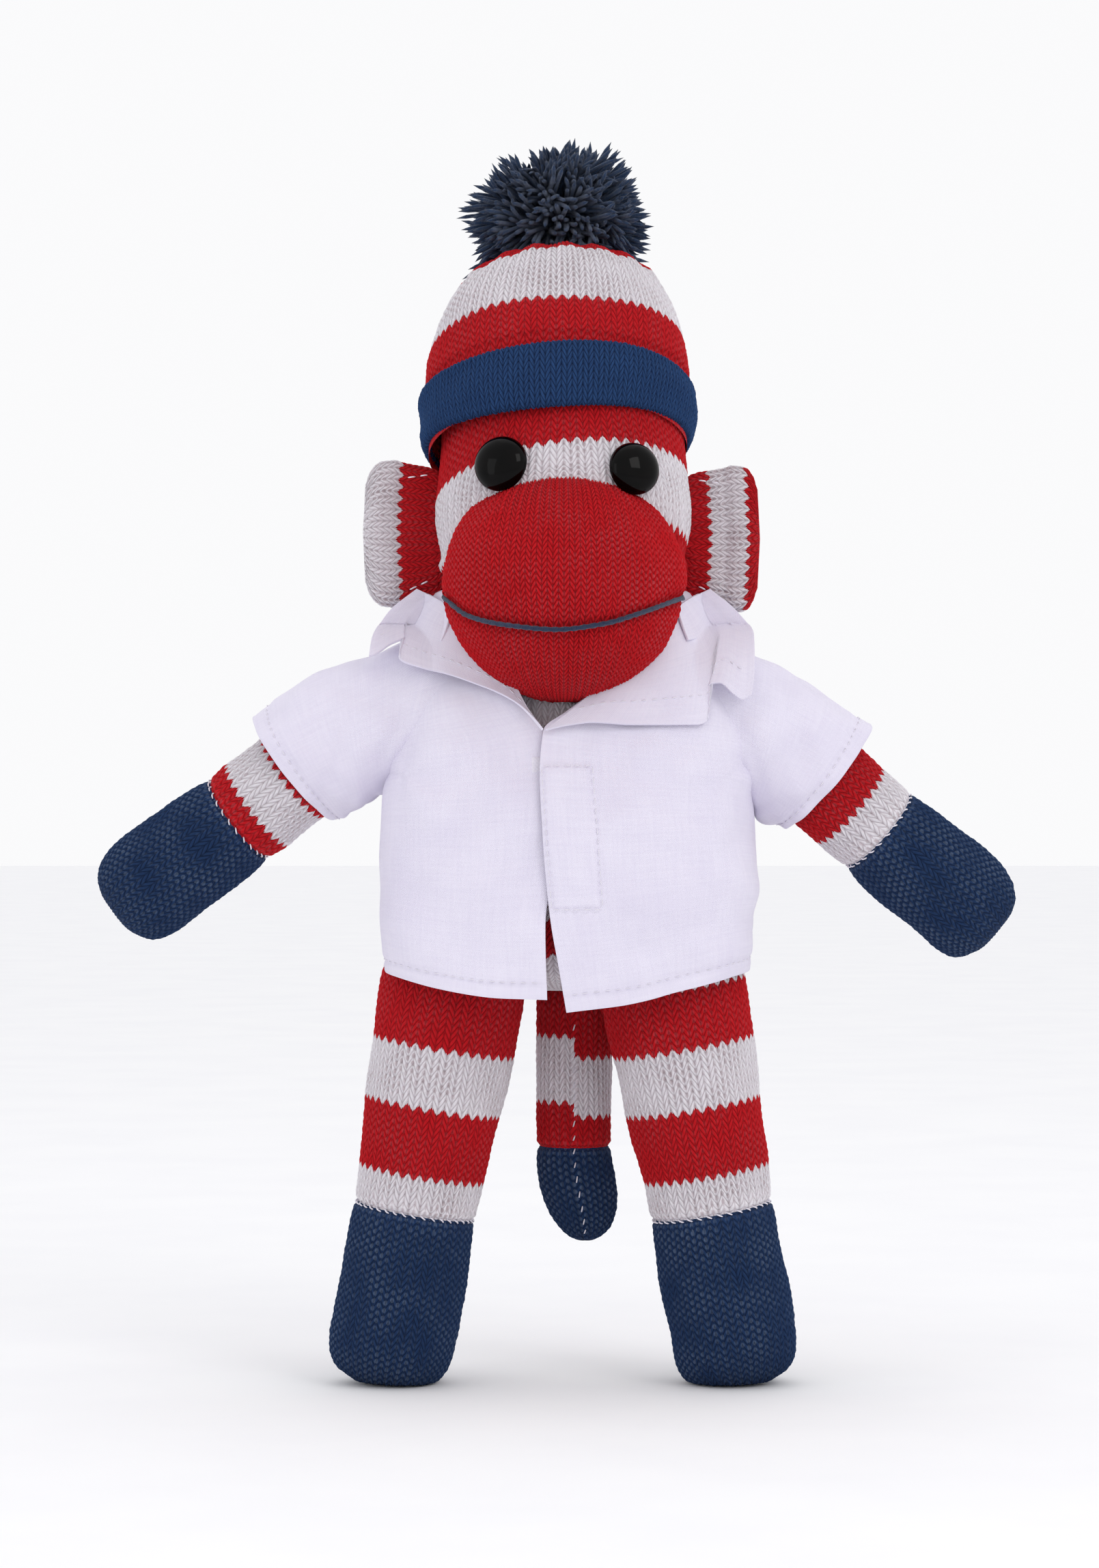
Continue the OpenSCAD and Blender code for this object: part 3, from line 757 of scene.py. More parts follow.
def tail():
    root = joint_at("tail_swing")
    down = -UP
    length = root[2] - 30.2
    seam = root[2] - 52.0
    keys = round_start(-8.5, 0, 8.6, 8.6) + [
        [0, 8.6, 8.6, 0], [15, 8.7, 8.5, 0], [seam - 1.3, 8.6, 8.4, 0], [seam - 0.3, 8.0, 7.9, 0],
        [seam + 0.7, 7.0, 7.0, 0]]
    tube = Tube(root, down, [1, 0, 0], keys, seed=41, lumps=0.2)
    left_cuts = [tube.along(root[2] - z) for z in (99, 88, 71.8, 58.5)]
    right_cuts = [tube.along(root[2] - z) for z in (99, 93, 77.5, 63.0)]

    def colour(along, turn):
        on_left = np.cos(2 * math.pi * turn) > 0
        order = np.array([R, W, R, W, R])
        return np.where(on_left, order[np.searchsorted(left_cuts, along)],
                        order[np.searchsorted(right_cuts, along)])

    def crease(p, turn, along):
        front = np.abs(((turn + 0.25) % 1) - 0.5) * 2 * math.pi * 8.6
        p[..., 1] += 0.9 * np.exp(-(front / 0.9) ** 2)
        return p

    tube.extra = crease
    front = tube.surface(np.full(60, 0.25), np.linspace(tube.along(3.0), tube.length - 2.0, 60))
    obj = knit_piece("tail_knit", tube.surface, wales_round(2 * 8.6), tube.length, KNIT, colour)
    declare(obj, "tail", ["tail_cover", "tail_stuffing"])
    keys = [[seam - 0.7, 7.0, 7.0, 0], [seam + 0.2, 8.0, 7.9, 0], [seam + 1.2, 8.5, 8.3, 0],
            [length - 14.0, 8.9, 8.4, 0]]
    keys += round_end(length - 14.0, length, 8.9, 8.4, 1.4, 0.4)
    tip = Tube(root, down, [1, 0, 0], keys, seed=43, lumps=0.2)

    def tip_shape(p, turn, along):
        p = crease(p, turn, along)
        p[..., 0] += 2.6 * ease((root[2] - seam - p[..., 2]) / 22)
        return p

    tip.extra = tip_shape
    obj = knit_piece("tail_tip_knit", tip.surface, wales_round(2 * 8.6), tip.length, KNIT,
                     stripes([], [N]))
    declare(obj, "tail", ["tail_tip_cover"])
    below = tip.surface(np.full(40, 0.25), np.linspace(2.0, tip.length - 3.0, 40))
    line = np.concatenate([front, below])
    out = np.broadcast_to(FRONT, line.shape)
    obj = strands("tail_seam_stitches", stitch_paths(line, out, 1.5, 1.6, 0.3, 0.5, 9), 0.16,
                  THREAD, sides=6)
    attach(obj, "tail")


# ---------- torso ----------

TORSO_KEYS = [[88.6, 4, 3, 0], [89.2, 16, 11, 0], [91, 25, 16.5, 0], [94, 30, 19.5, 0],
              [100, 33.4, 21.6, 0], [116, 33.6, 22.2, 0], [135, 30.8, 20.8, 0],
              [150, 28.6, 17.8, 1], [158, 24.5, 15.8, 2.2], [163, 19.5, 14.6, 3.4],
              [165.6, 14.6, 13.2, 4]]


def torso():
    z = np.linspace(TORSO_KEYS[0][0], TORSO_KEYS[-1][0], 500)
    a, b, cy = curve(TORSO_KEYS, z)
    arc = np.concatenate([[0], np.cumsum(np.hypot(np.diff(z), np.diff(a)))])

    def surface(turn, along):
        zz = np.interp(along, arc, z)
        aa, bb = np.interp(along, arc, a), np.interp(along, arc, b)
        yy = np.interp(along, arc, cy)
        lump = 0.4 * wave_round(51, turn, along, 25)
        cos, sin = np.cos(2 * math.pi * turn), np.sin(2 * math.pi * turn)
        return np.stack([(aa + lump) * cos, yy + (bb + lump) * sin, zz], -1)

    cuts = [np.interp(v, z, arc) for v in (96.5, 106.0, 120.0, 134.0)]
    obj = knit_piece("torso_knit", surface, wales_round(58), arc[-1], KNIT,
                     stripes(cuts, [W, R, W, R, W]))
    declare(obj, "torso", ["torso_cover", "torso_stuffing"])


# ---------- head ----------

NECK = joint_at("head_turn")
HAT_AXIS = unit(joint("hat_lift")["axis"])
BRIM = np.array([0, 2.7, 209.3])
HEAD_R = 27.6
CROWN_R = 29.8
CROWN_LEN = 16.5
CHEEK = np.array([0, -0.5, 196.0])
CHEEK_R = 28.9


def soft_union(a, b, k):
    h = np.clip(0.5 + 0.5 * (b - a) / k, 0, 1)
    return b * (1 - h) + a * h - k * h * (1 - h)


def head_distance(p):
    rel = p - BRIM
    k = rel @ HAT_AXIS
    over = rel - k[..., None] * HAT_AXIS
    flat = np.linalg.norm(over, axis=-1)
    dome = np.hypot(flat, k - np.clip(k, 0, CROWN_LEN)) - HEAD_R
    cheek = np.linalg.norm(p - CHEEK, axis=-1) - CHEEK_R
    neck_r = 17 + (p[..., 2] - 166.2) * 0.62
    neck = np.maximum(np.hypot(p[..., 0], p[..., 1] - NECK[1]) - neck_r, p[..., 2] - 184)
    return soft_union(soft_union(dome, cheek, 3.0), neck, 4.0)


def head():
    steps = []
    for z in np.linspace(166.4, 209.3, 60):
        tilt = math.radians(19.0) * ease((z - 170) / 22)
        steps.append((np.array([0, NECK[1] + (BRIM[1] - NECK[1]) * (z - 166.4) / 42.9, z]), tilt))
    for q in np.linspace(0, 1, 40)[1:]:
        rise = CROWN_LEN * q * 2 if q <= 0.5 else CROWN_LEN + HEAD_R * math.sin(math.pi * (q - 0.5))
        steps.append((BRIM + HAT_AXIS * rise, math.radians(20)))
    origin = np.array([s[0] for s in steps])
    tilt = np.array([s[1] for s in steps])
    roll = math.radians(7.0) * ease((origin[:, 2] - 172) / 16) * ease((224 - origin[:, 2]) / 12)
    rays = 128
    angle = np.linspace(0, 2 * math.pi, rays + 1)[:-1]
    across = np.stack([np.cos(roll), np.zeros_like(roll), np.sin(roll)], 1)
    back = np.stack([np.zeros_like(tilt), np.cos(tilt), -np.sin(tilt)], 1)
    ray = (np.cos(angle)[None, :, None] * across[:, None, :]
           + np.sin(angle)[None, :, None] * back[:, None, :])
    low = np.zeros((len(steps), rays))
    high = np.full((len(steps), rays), 46.0)
    for _ in range(26):
        mid = (low + high) / 2
        inside = head_distance(origin[:, None, :] + ray * mid[..., None]) < 0
        low, high = np.where(inside, mid, low), np.where(inside, high, mid)
    shell = origin[:, None, :] + ray * low[..., None]
    shell = np.concatenate([np.repeat(origin[:1][None], rays, 1), shell])
    girth = np.linalg.norm(np.diff(shell[:, ::8], axis=0), axis=2).mean(axis=1)
    arc = np.concatenate([[0], np.cumsum(np.maximum(girth, 1e-4))])

    def surface(turn, along):
        row = np.interp(along, arc, np.arange(len(arc)))
        r0 = np.clip(row.astype(int), 0, len(arc) - 2)
        fr = row - r0
        col = (turn * rays) % rays
        c0 = col.astype(int)
        fc = col - c0
        c1 = (c0 + 1) % rays
        return (shell[r0, c0] * ((1 - fr) * (1 - fc))[..., None]
                + shell[r0 + 1, c0] * (fr * (1 - fc))[..., None]
                + shell[r0, c1] * ((1 - fr) * fc)[..., None]
                + shell[r0 + 1, c1] * (fr * fc)[..., None])

    def arc_at(z):
        return np.interp(z, [s[0][2] for s in steps], arc[1:])

    cuts = [arc_at(z) for z in (174.0, 185.3, 200.6, 217)]
    obj = knit_piece("head_knit", surface, wales_round(57), arc[-1], KNIT,
                     stripes(cuts, [W, R, W, R, W]))
    declare(obj, "head", ["head_cover", "head_stuffing"])


MUZZLE_Y = -18.0
MUZZLE_KEYS = [[153.2, 0], [153.5, 4.4], [154.3, 7.6], [155.9, 11.4], [157.1, 13.6], [159.6, 17],
               [162, 19.5], [165, 22], [168.7, 24.2], [172, 25.6], [175.4, 26.5], [178.5, 27],
               [181.5, 27.1], [184.5, 26.7], [190.6, 24.2], [196.1, 20.3], [200.4, 14.7],
               [203.3, 7.6], [204.2, 3.5], [204.5, 0]]
MOUTH_KEYS = [[-27.0, 176.6], [-20.8, 171.7], [-13.2, 169.6], [-1.4, 168.4], [8.3, 169.6],
              [17.1, 172.3], [26.4, 176.1]]


def muzzle_r(z):
    keys = np.array(MUZZLE_KEYS)
    fine = np.linspace(0, 1, 600)
    at = 153.2 + (204.5 - 153.2) * (0.5 - 0.5 * np.cos(math.pi * fine))
    # the square of the radius is smooth at the poles
    square = curve(np.stack([keys[:, 0], keys[:, 1] ** 2], 1), at)
    return np.sqrt(np.maximum(np.interp(z, at, square), 0))


def muzzle_front(x, z):
    """Y of the muzzle's face over a point of the front view."""
    r = muzzle_r(z)
    return MUZZLE_Y - np.sqrt(np.maximum(r**2 - np.asarray(x) ** 2, 0))


def muzzle():
    q = np.linspace(0, math.pi, 700)
    z = 204.5 - (204.5 - 153.2) * (0.5 - 0.5 * np.cos(q))
    r = muzzle_r(z)
    arc = np.concatenate([[0], np.cumsum(np.hypot(np.diff(z), np.diff(r)))])
    fan_y = 28.0  # the columns of stitches fan from an upright line this far behind the axis
    wale = WALE * FINE
    front_wales = int(round(math.radians(2 * 66) * (fan_y + 26) / wale))
    back_wales = 8
    wales = front_wales + back_wales
    share = front_wales / wales

    def surface(turn, along):
        zz = np.interp(along, arc, z)
        rr = np.maximum(np.interp(along, arc, r), 1e-4)
        x = (turn / share) * 2 - 1  # -1 to 1 over the front
        limit = np.arcsin(np.clip(rr / fan_y, 0, 0.985))
        want = np.clip(x, -1, 1) * math.radians(66)
        q = want / limit
        fan = limit * q / (1 + np.abs(q) ** 5) ** 0.2
        edge = limit * (math.radians(66) / limit) / (1 + (math.radians(66) / limit) ** 5) ** 0.2
        around = fan + np.arcsin(np.clip(fan_y * np.sin(fan) / rr, -1, 1))
        last = edge + np.arcsin(np.clip(fan_y * np.sin(edge) / rr, -1, 1))
        rest = (x - 1) / (2 / share - 2)
        behind = last + np.clip(rest, 0, 1) * (2 * math.pi - 2 * last)
        around = np.where(x > 1, behind, around)
        lump = 0.3 * waves(61, around * 27, zz, 16) * ease(np.minimum(along, arc[-1] - along) / 8)
        mx = rr * np.sin(around)
        mouth_z = curve(MOUTH_KEYS, mx)
        dent = 1.1 * np.exp(-((zz - mouth_z) / 1.5) ** 2) * (np.cos(around) > -0.1)
        rad = rr + lump - dent * np.minimum(rr / 10, 1)
        return np.stack([rad * np.sin(around), MUZZLE_Y - rad * np.cos(around), zz], -1)

    obj = knit_piece("muzzle_knit", surface, wales, arc[-1], [MUZZLE], stripes([], [0]),
                     course=COURSE * FINE, relief=0.6)
    declare(obj, "head", ["muzzle_cover", "muzzle_stuffing"])

    x = np.linspace(-26.4, 26.2, 90)
    zz = curve(MOUTH_KEYS, x)
    line = np.stack([x, muzzle_front(x, zz) - 0.05, zz], 1)
    ends = [line[0] + [-0.2, 4.0, 0.8], line[-1] + [0.2, 4.0, 0.8]]
    line = np.concatenate([[ends[0]], line, [ends[1]]])
    yarn = strands("mouth_yarn_line", [line], 0.52, MOUTH, sides=14, lobes=0.2, twist=1.5)
    declare(yarn, "head", ["mouth_yarn"])


EYES = {RIGHT: (-13.6, 205.3, 6.2), LEFT: (15.3, 204.2, 5.9)}  # x, height, radius
EYE_TURN, EYE_TILT = math.radians(24), math.radians(12)


def eye(side):
    """A glossy half-round button eye on its flat washer."""
    x, z, radius = EYES[side]
    node = frame["nodes"][SIDE_NAME[side] + "_eye"]
    cad = np.array([list(node.matrix_world @ v.co) for v in node.data.vertices]) / MM
    aim = unit([side * math.sin(EYE_TURN), -math.cos(EYE_TURN), math.sin(EYE_TILT)])
    across = unit(np.cross(UP, aim))
    up = np.cross(aim, across)
    centre = np.array([x, cad[:, 1].min() + 5.6, z])
    keys = [[0.0, -2.2], [0.45 * radius, -2.2], [0.5 * radius, -0.9], [0.9 * radius, -0.7]]
    keys += [[radius * math.cos(q) ** 0.9, 0.3 + 3.6 * math.sin(q)]
             for q in np.linspace(0, math.pi / 2, 22)[:-1]] + [[0.0, 3.9]]
    turn = np.linspace(0, 2 * math.pi, 65)[:-1]
    keys = np.array(keys)
    ring = np.cos(turn)[:, None] * across + np.sin(turn)[:, None] * up
    points = centre + keys[:, 0][:, None, None] * ring[None] + keys[:, 1][:, None, None] * aim
    faces, cc, cr, _, _ = grid_faces(len(keys), 64, True)
    uv = np.stack([cc / 64, cr / len(keys)], 2)
    obj = mesh_piece(f"{SIDE_NAME[side]}_eye_dome", points.reshape(-1, 3), faces, [EYE], None, uv)
    declare(obj, "head", [SIDE_NAME[side] + "_eye"])
    washer = frame["nodes"][SIDE_NAME[side] + "_eye_washer"]
    washer.data.materials.clear()
    washer.data.materials.append(TAPE)


# ---------- ears ----------


def ear(side):
    """A folded ear of striped knit, flat, with its stripes upright."""
    name = SIDE_NAME[side]
    root_x, rim_x = 27.6, (44.4 if side == LEFT else 45.2)
    mid_z = 190.4 if side == LEFT else 191.6
    keys = [[0, 12.5, 1.6], [1.5, 14.6, 2.2], [4, 15.3, 2.2], [8, 15.9, 2.3], [9.6, 16.2, 1.9],
            [11, 16.8, 2.7], [13.2, 16.6, 3.0]]
    reach = rim_x - root_x
    for i in range(1, 9):
        q = math.pi / 2 * i / 8
        keys.append([13.2 + (reach - 13.2) * math.sin(q), 16.6 - 6.4 * (1 - math.cos(q)),
                     3.0 * math.cos(q) ** 0.8])
    keys = np.array(keys)
    x = np.linspace(0, reach, 300)
    tall, thick = np.interp(x, keys[:, 0], keys[:, 1]), np.interp(x, keys[:, 0], keys[:, 2])
    tall = np.convolve(np.pad(tall, 6, mode="edge"), np.ones(13) / 13, "valid")
    step = np.hypot(np.diff(x), np.diff(thick))
    arc = np.concatenate([[0], np.cumsum(np.maximum(step, 1e-6))])

    # turns are spread evenly by length round the flat section
    rim_angle = np.linspace(0, 2 * math.pi, 721)
    rim = np.stack([15 * np.sign(np.cos(rim_angle)) * np.abs(np.cos(rim_angle)) ** 0.75,
                    2.4 * np.sign(np.sin(rim_angle)) * np.abs(np.sin(rim_angle)) ** 0.6])
    rim_run = np.concatenate([[0], np.cumsum(np.hypot(*np.diff(rim)))])
    rim_run /= rim_run[-1]

    def surface(turn, along):
        xx = np.interp(along, arc, x)
        h, t = np.interp(along, arc, tall), np.interp(along, arc, thick)
        angle = np.interp(turn % 1, rim_run, rim_angle)
        cos, sin = np.cos(angle), np.sin(angle)
        round_h = np.sign(cos) * np.abs(cos) ** 0.75
        round_t = np.sign(sin) * np.abs(sin) ** 0.6
        lump = 0.35 * waves(71 + side, turn * 80, along, 9)
        curl = -2.1 * (xx / reach) ** 2
        z = mid_z + h * round_h
        y = 2.7 + (t + lump * 0.5) * round_t + curl
        lean = 0.05 * (z - mid_z)
        return np.stack([side * (root_x + xx - np.abs(lean)), y, z], -1)

    edge = 9.7 if side == RIGHT else 6.3
    edges = [np.interp(edge, x, arc)] + ([np.interp(13.6, x, arc)] if side == LEFT else [])
    obj = knit_piece(f"{name}_ear_knit", surface, 26, arc[-1], KNIT,
                     stripes(edges, [R, W, R]), course=COURSE * 0.85, ends=1.5, relief=0.4)
    declare(obj, f"{name}_ear", [f"{name}_ear"])
    lines = []
    for z0, z1 in ((mid_z + 13.2, mid_z + 12.4), (mid_z - 10.6, mid_z - 13.4)):
        k = np.linspace(0, 1, 30)
        p = np.stack([side * (root_x + 2.5 + 6.0 * k), np.full(30, -0.65), z0 + (z1 - z0) * k], 1)
        lines += stitch_paths(p, np.broadcast_to(FRONT, p.shape), 1.7, 0.9, 0.3, 0, 7)
    obj = strands(f"{name}_ear_stitches", lines, WHIP_R, THREAD, sides=6)
    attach(obj, f"{name}_ear")


# ---------- hat ----------

HAT_SIDE = np.array([math.cos(math.radians(2.5)), 0, math.sin(math.radians(2.5))])
HAT_BACK = unit(np.cross(HAT_AXIS, HAT_SIDE))
HAT_SHIFT = np.array([-1.2, 0, 0])


def hat_point(side, back, rise):
    return (BRIM + HAT_SHIFT + side[..., None] * HAT_SIDE + back[..., None] * HAT_BACK
            + rise[..., None] * HAT_AXIS)


def hat():
    rise, rad = [], []
    for h in np.linspace(0.5, CROWN_LEN, 30):
        rise.append(h)
        rad.append(CROWN_R - 0.6 + 0.4 * h / CROWN_LEN)
    for q in np.linspace(0, math.pi / 2, 120)[1:]:
        rise.append(CROWN_LEN + (CROWN_R + 0.7) * math.sin(q))
        rad.append((CROWN_R + 0.2) * abs(math.cos(q)) ** 0.54)
    rise, rad = np.array(rise), np.array(rad)
    arc = np.concatenate([[0], np.cumsum(np.hypot(np.diff(rise), np.diff(rad)))])

    def surface(turn, along):
        h, r = np.interp(along, arc, rise), np.interp(along, arc, rad)
        cos, sin = np.cos(2 * math.pi * turn), np.sin(2 * math.pi * turn)
        gather = 0.5 * np.sin(2 * math.pi * turn * 17 + 1.3) * ease((h - 36) / 8) * ease(r / 6)
        lump = (0.45 * wave_round(81, turn, along, 20) + gather) * ease((h - 12) / 8)
        return hat_point((r + lump) * cos, (r + lump) * sin, h + lump * 0.3)

    def arc_at(h):
        return np.interp(h, rise, arc)

    cuts = [arc_at(h) for h in (25.6, 41.2)]
    obj = knit_piece("hat_crown_knit", surface, wales_round(59), arc[-1], KNIT,
                     stripes(cuts, [R, W, R]))
    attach(obj, "hat")
    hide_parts("hat_crown")

    # the folded cuff: up the inside, over the fold and down the outside
    inner, outer, low, high = CROWN_R - 0.3, CROWN_R + 1.9, 0.4, 14.4
    ring = [(inner, high - 2), (inner, low + 2)]
    for q in np.linspace(0, math.pi, 9):
        ring.append(((inner + outer) / 2 - (outer - inner) / 2 * math.cos(q),
                     low + 1.2 - 1.2 * math.sin(q)))
    ring += [(outer + 0.1, 4), (outer + 0.15, 9), (outer - 0.1, high - 1.6)]
    for q in np.linspace(0, math.pi, 9):
        ring.append(((inner + outer) / 2 + (outer - inner) / 2 * math.cos(q) - 0.1,
                     high - 1.0 + 1.0 * math.sin(q)))
    ring = np.array(ring)
    arc_c = np.concatenate([[0], np.cumsum(np.linalg.norm(np.diff(ring, axis=0), axis=1))])

    def cuff(turn, along):
        r, h = np.interp(along, arc_c, ring[:, 0]), np.interp(along, arc_c, ring[:, 1])
        cos, sin = np.cos(2 * math.pi * turn), np.sin(2 * math.pi * turn)
        lump = 0.35 * wave_round(83, turn, h * 1.5, 16)
        lift = 0.7 * wave_round(85, turn, np.full_like(h, 3.0), 30)
        lift += (1 - h / high) * (1.8 - 3.6 * np.maximum(-sin, 0) ** 1.5)
        r = r - 1.3 * (1 - h / high) ** 2
        return hat_point((r + lump) * cos, (r + lump) * sin, h + lift)

    obj = knit_piece("hat_cuff_knit", cuff, wales_round(2 * 31, WALE * FINE), arc_c[-1], [CUFF],
                     stripes([], [0]), course=COURSE * FINE, relief=0.45, ends=1.0)
    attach(obj, "hat")
    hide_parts("hat_cuff")


POMPOM_W, POMPOM_H = 21.4, 18.5  # half width and half height of the ball
PLIES, PLY_R, PLY_RINGS, PLY_SIDES = 3, 0.52, 11, 6


def pompom():
    """A ball of cut three-ply yarns, tied in the middle, with frayed ends."""
    rng = np.random.default_rng(91)
    centre = BRIM + HAT_AXIS * (CROWN_LEN + CROWN_R + POMPOM_H - 7.0) + HAT_SHIFT
    hub = BRIM + HAT_SHIFT + HAT_AXIS * CROWN_LEN
    frame_axes = np.stack([HAT_SIDE, HAT_BACK, HAT_AXIS])
    count = 430
    k = np.linspace(0, 1, PLY_RINGS)
    angle = np.arange(PLY_SIDES) * 2 * math.pi / PLY_SIDES
    rings = []
    for i in range(count):
        up = 1 - 2 * (i + 0.5) / count
        turn = i * math.pi * (3 - math.sqrt(5)) + rng.normal(0, 0.1)
        flat = math.sqrt(1 - up * up)
        aim = np.array([flat * math.cos(turn), flat * math.sin(turn), up])
        full = (flat**2.5 + abs(up) ** 2.5) ** (1 / 2.5)
        tip = aim / full * [POMPOM_W, POMPOM_W, POMPOM_H] * rng.uniform(0.88, 1.0)
        bend = rng.normal(0, 2.0, 3) + [0, 0, -1.6]
        core = tip * (0.3 + 0.7 * k[:, None]) + bend * (k[:, None] ** 2 - 0.4)
        core = centre + core @ frame_axes
        t = unit(tip @ frame_axes)
        side = unit(np.cross(t, [0.31, 0.77, 0.55]))
        other = np.cross(t, side)
        phase, wind = rng.uniform(0, 2 * math.pi), rng.uniform(0.22, 0.34)
        run = np.linalg.norm(tip) * 0.7 * k
        for ply in range(PLIES):
            a = phase + 2 * math.pi * ply / PLIES + run * wind * 2.4 * (1 - 0.5 * k)
            spread = 0.46 + rng.uniform(0.7, 1.7) * k**4
            path = (core + (spread * np.cos(a))[:, None] * side
                    + (spread * np.sin(a))[:, None] * other)
            path = path + t * rng.uniform(-1.0, 0.6) * k[:, None] ** 3
            # the yarns lie on the crown where they meet it
            away = path - hub
            dist = np.linalg.norm(away, axis=1, keepdims=True)
            path = hub + away * np.maximum(dist, CROWN_R + 2.2) / dist
            r = PLY_R * np.clip(np.minimum(k / 0.04, (1 - k) / 0.05), 0, 1) ** 0.5
            ring = (np.cos(angle)[None, :, None] * side + np.sin(angle)[None, :, None] * other)
            rings.append(path[:, None, :] + ring * r[:, None, None])
    rings = np.array(rings)
    quads, cc, cr, _, _ = grid_faces(PLY_RINGS, PLY_SIDES, True)
    size = PLY_RINGS * PLY_SIDES
    faces = (quads[None] + size * np.arange(len(rings))[:, None, None]).reshape(-1, 4)
    uv = np.stack([cc / PLY_SIDES, cr * 1.3], 2)
    uv = np.broadcast_to(uv, (len(rings), *uv.shape)) + rng.uniform(0, 9, (len(rings), 1, 1, 2))
    obj = mesh_piece("pompom_yarn", rings.reshape(-1, 3), faces, [YARN], None, uv.reshape(-1, 4, 2))
    declare(obj, "hat", ["pompom", "pompom_tie"])


# ---------- shirt ----------

SHIRT_KEYS = [[80, 40.4, 28.0, 0], [84, 40.4, 27.8, 0], [100, 41.0, 27.4, 0], [120, 42.0, 26.6, 0],
              [132, 41.4, 25.6, 0.2], [142, 39.6, 24.2, 0.5], [152, 37.4, 22.8, 1],
              [160, 34.6, 21.5, 2], [168, 29.0, 19.9, 3], [174, 25.5, 19.5, 3.6],
              [180, 24.0, 19.5, 4]]
CLOTH = 0.55  # thickness of the cotton
COLLAR_CLOTH = 0.6  # the collar's is doubled and pressed
TAPE_THICK = 0.4
STITCH_R = 0.12  # radius of the sewing thread on the cotton
WHIP_R = 0.17  # and of the thread that joins the knits
BOXY = 0.09  # how far the body's section swells from an ellipse
SHIRT_SHIFT = 1.1  # the body sits this far to the doll's left, at its sides


def shirt_point(theta, z, out=0.0):
    """A point of the shirt's body: theta 0 at the front, 90 degrees at the doll's left side."""
    theta, z = np.broadcast_arrays(theta, z)
    rx, ry, cy = curve(SHIRT_KEYS, z)
    nx, ny = np.sin(theta) / rx, -np.cos(theta) / ry
    size = np.hypot(nx, ny)
    swell = 1 + BOXY * np.sin(2 * theta) ** 2
    x = rx * np.sin(theta) * swell + SHIRT_SHIFT * np.sin(theta) ** 2
    return np.stack([x + out * nx / size, cy - ry * np.cos(theta) * swell + out * ny / size, z], -1)


def theta_at(x, z):
    x, z = np.broadcast_arrays(np.asarray(x, float), np.asarray(z, float))
    rx = curve(SHIRT_KEYS, z)[0]
    theta = np.arcsin(np.clip(x / rx, -1, 1)) * 0.9
    for _ in range(12):
        now = shirt_point(theta, z)[..., 0]
        theta = np.clip(theta + (x - now) / rx * 0.8, -math.pi / 2, math.pi / 2)
    return theta


def sheet_piece(name, points, thick, material, closed=False):
    """A cloth sheet from a grid of points, with thickness and woven coordinates in mm."""
    rows, cols, _ = points.shape
    n = normals_of(points, closed)
    across = np.linalg.norm(np.diff(points, axis=1), axis=2).mean(axis=0)
    up = np.linalg.norm(np.diff(points, axis=0), axis=2).mean(axis=1)
    us = np.concatenate([[0], np.cumsum(across)])
    vs = np.concatenate([[0], np.cumsum(up)])
    faces, cc, cr, _, _ = grid_faces(rows, cols, closed)
    top = (points + n * thick / 2).reshape(-1, 3)
    bottom = (points - n * thick / 2).reshape(-1, 3)
    count = rows * cols
    us = np.append(us, us[-1] * 2 - us[-2]) if closed else us
    uv = np.stack([us[cc], vs[cr]], 2)
    ids = np.arange(count).reshape(rows, cols)
    parts = [faces, faces[:, ::-1] + count]
    uvs = [uv, uv[:, ::-1]]
    borders = [ids[0], ids[-1][::-1]]
    if not closed:
        borders += [ids[:, -1], ids[::-1, 0]]
    else:
        borders = [np.append(ids[0], ids[0, 0]), np.append(ids[-1], ids[-1, 0])[::-1]]
    for line in borders:
        a, b = line[:-1], line[1:]
        parts.append(np.stack([b, a, a + count, b + count], 1))
        run = np.arange(len(a)) * 0.6
        uvs.append(np.stack([np.stack([run + 0.6, run, run, run + 0.6], 1),
                             np.stack([run * 0, run * 0, run * 0 + thick, run * 0 + thick], 1)], 2))
    obj = mesh_piece(name, np.concatenate([top, bottom]), np.concatenate(parts), [material],
                     None, np.concatenate(uvs), weld=False)
    round_edge = obj.modifiers.new("soft_edge", "BEVEL")
    round_edge.width = thick * 0.3 * MM
    round_edge.segments = 2
    round_edge.limit_method = "ANGLE"
    round_edge.angle_limit = math.radians(50)
    return obj


def patch(bottom, top, left, right, rows, cols):
    """Smooth grid inside four border curves, each a function of 0 to 1 giving 2-D points."""
    u, v = np.linspace(0, 1, cols)[None, :, None], np.linspace(0, 1, rows)[:, None, None]
    b, t = bottom(u[0, :, 0])[None], top(u[0, :, 0])[None]
    le, ri = left(v[:, 0, 0])[:, None], right(v[:, 0, 0])[:, None]
    corners = ((1 - u) * (1 - v) * b[:, :1] + u * (1 - v) * b[:, -1:]
               + (1 - u) * v * t[:, :1] + u * v * t[:, -1:])
    return (1 - v) * b + v * t + (1 - u) * le + u * ri - corners


def border(keys):
    """A curve through 2-D points, even in length."""
    keys = np.asarray(keys, float)
    s = np.concatenate([[0], np.cumsum(np.linalg.norm(np.diff(keys, axis=0), axis=1))])
    s /= s[-1]
    both = np.column_stack([s, keys])
    return lambda q: np.stack(curve(both, q), 1)


def folds(x, z, seed, amount):
    """Soft creases of the shirt's body: broad billows, pulls from the armholes, fine crumple."""
    billow = waves(seed, x, z * 1.4, 26) * 0.7
    fine = waves(seed + 1, x * 0.8, z, 9) * 0.24
    side = np.sign(x) * 1.0
    dx, dz = np.abs(x) - 36, z - 137
    angle = np.arctan2(dz, -dx)
    far = np.hypot(dx, dz)
    pull = 0.6 * np.sin(angle * 4 + side) * np.exp(-((far - 10) / 8) ** 2)
    return amount * (billow + fine + pull)


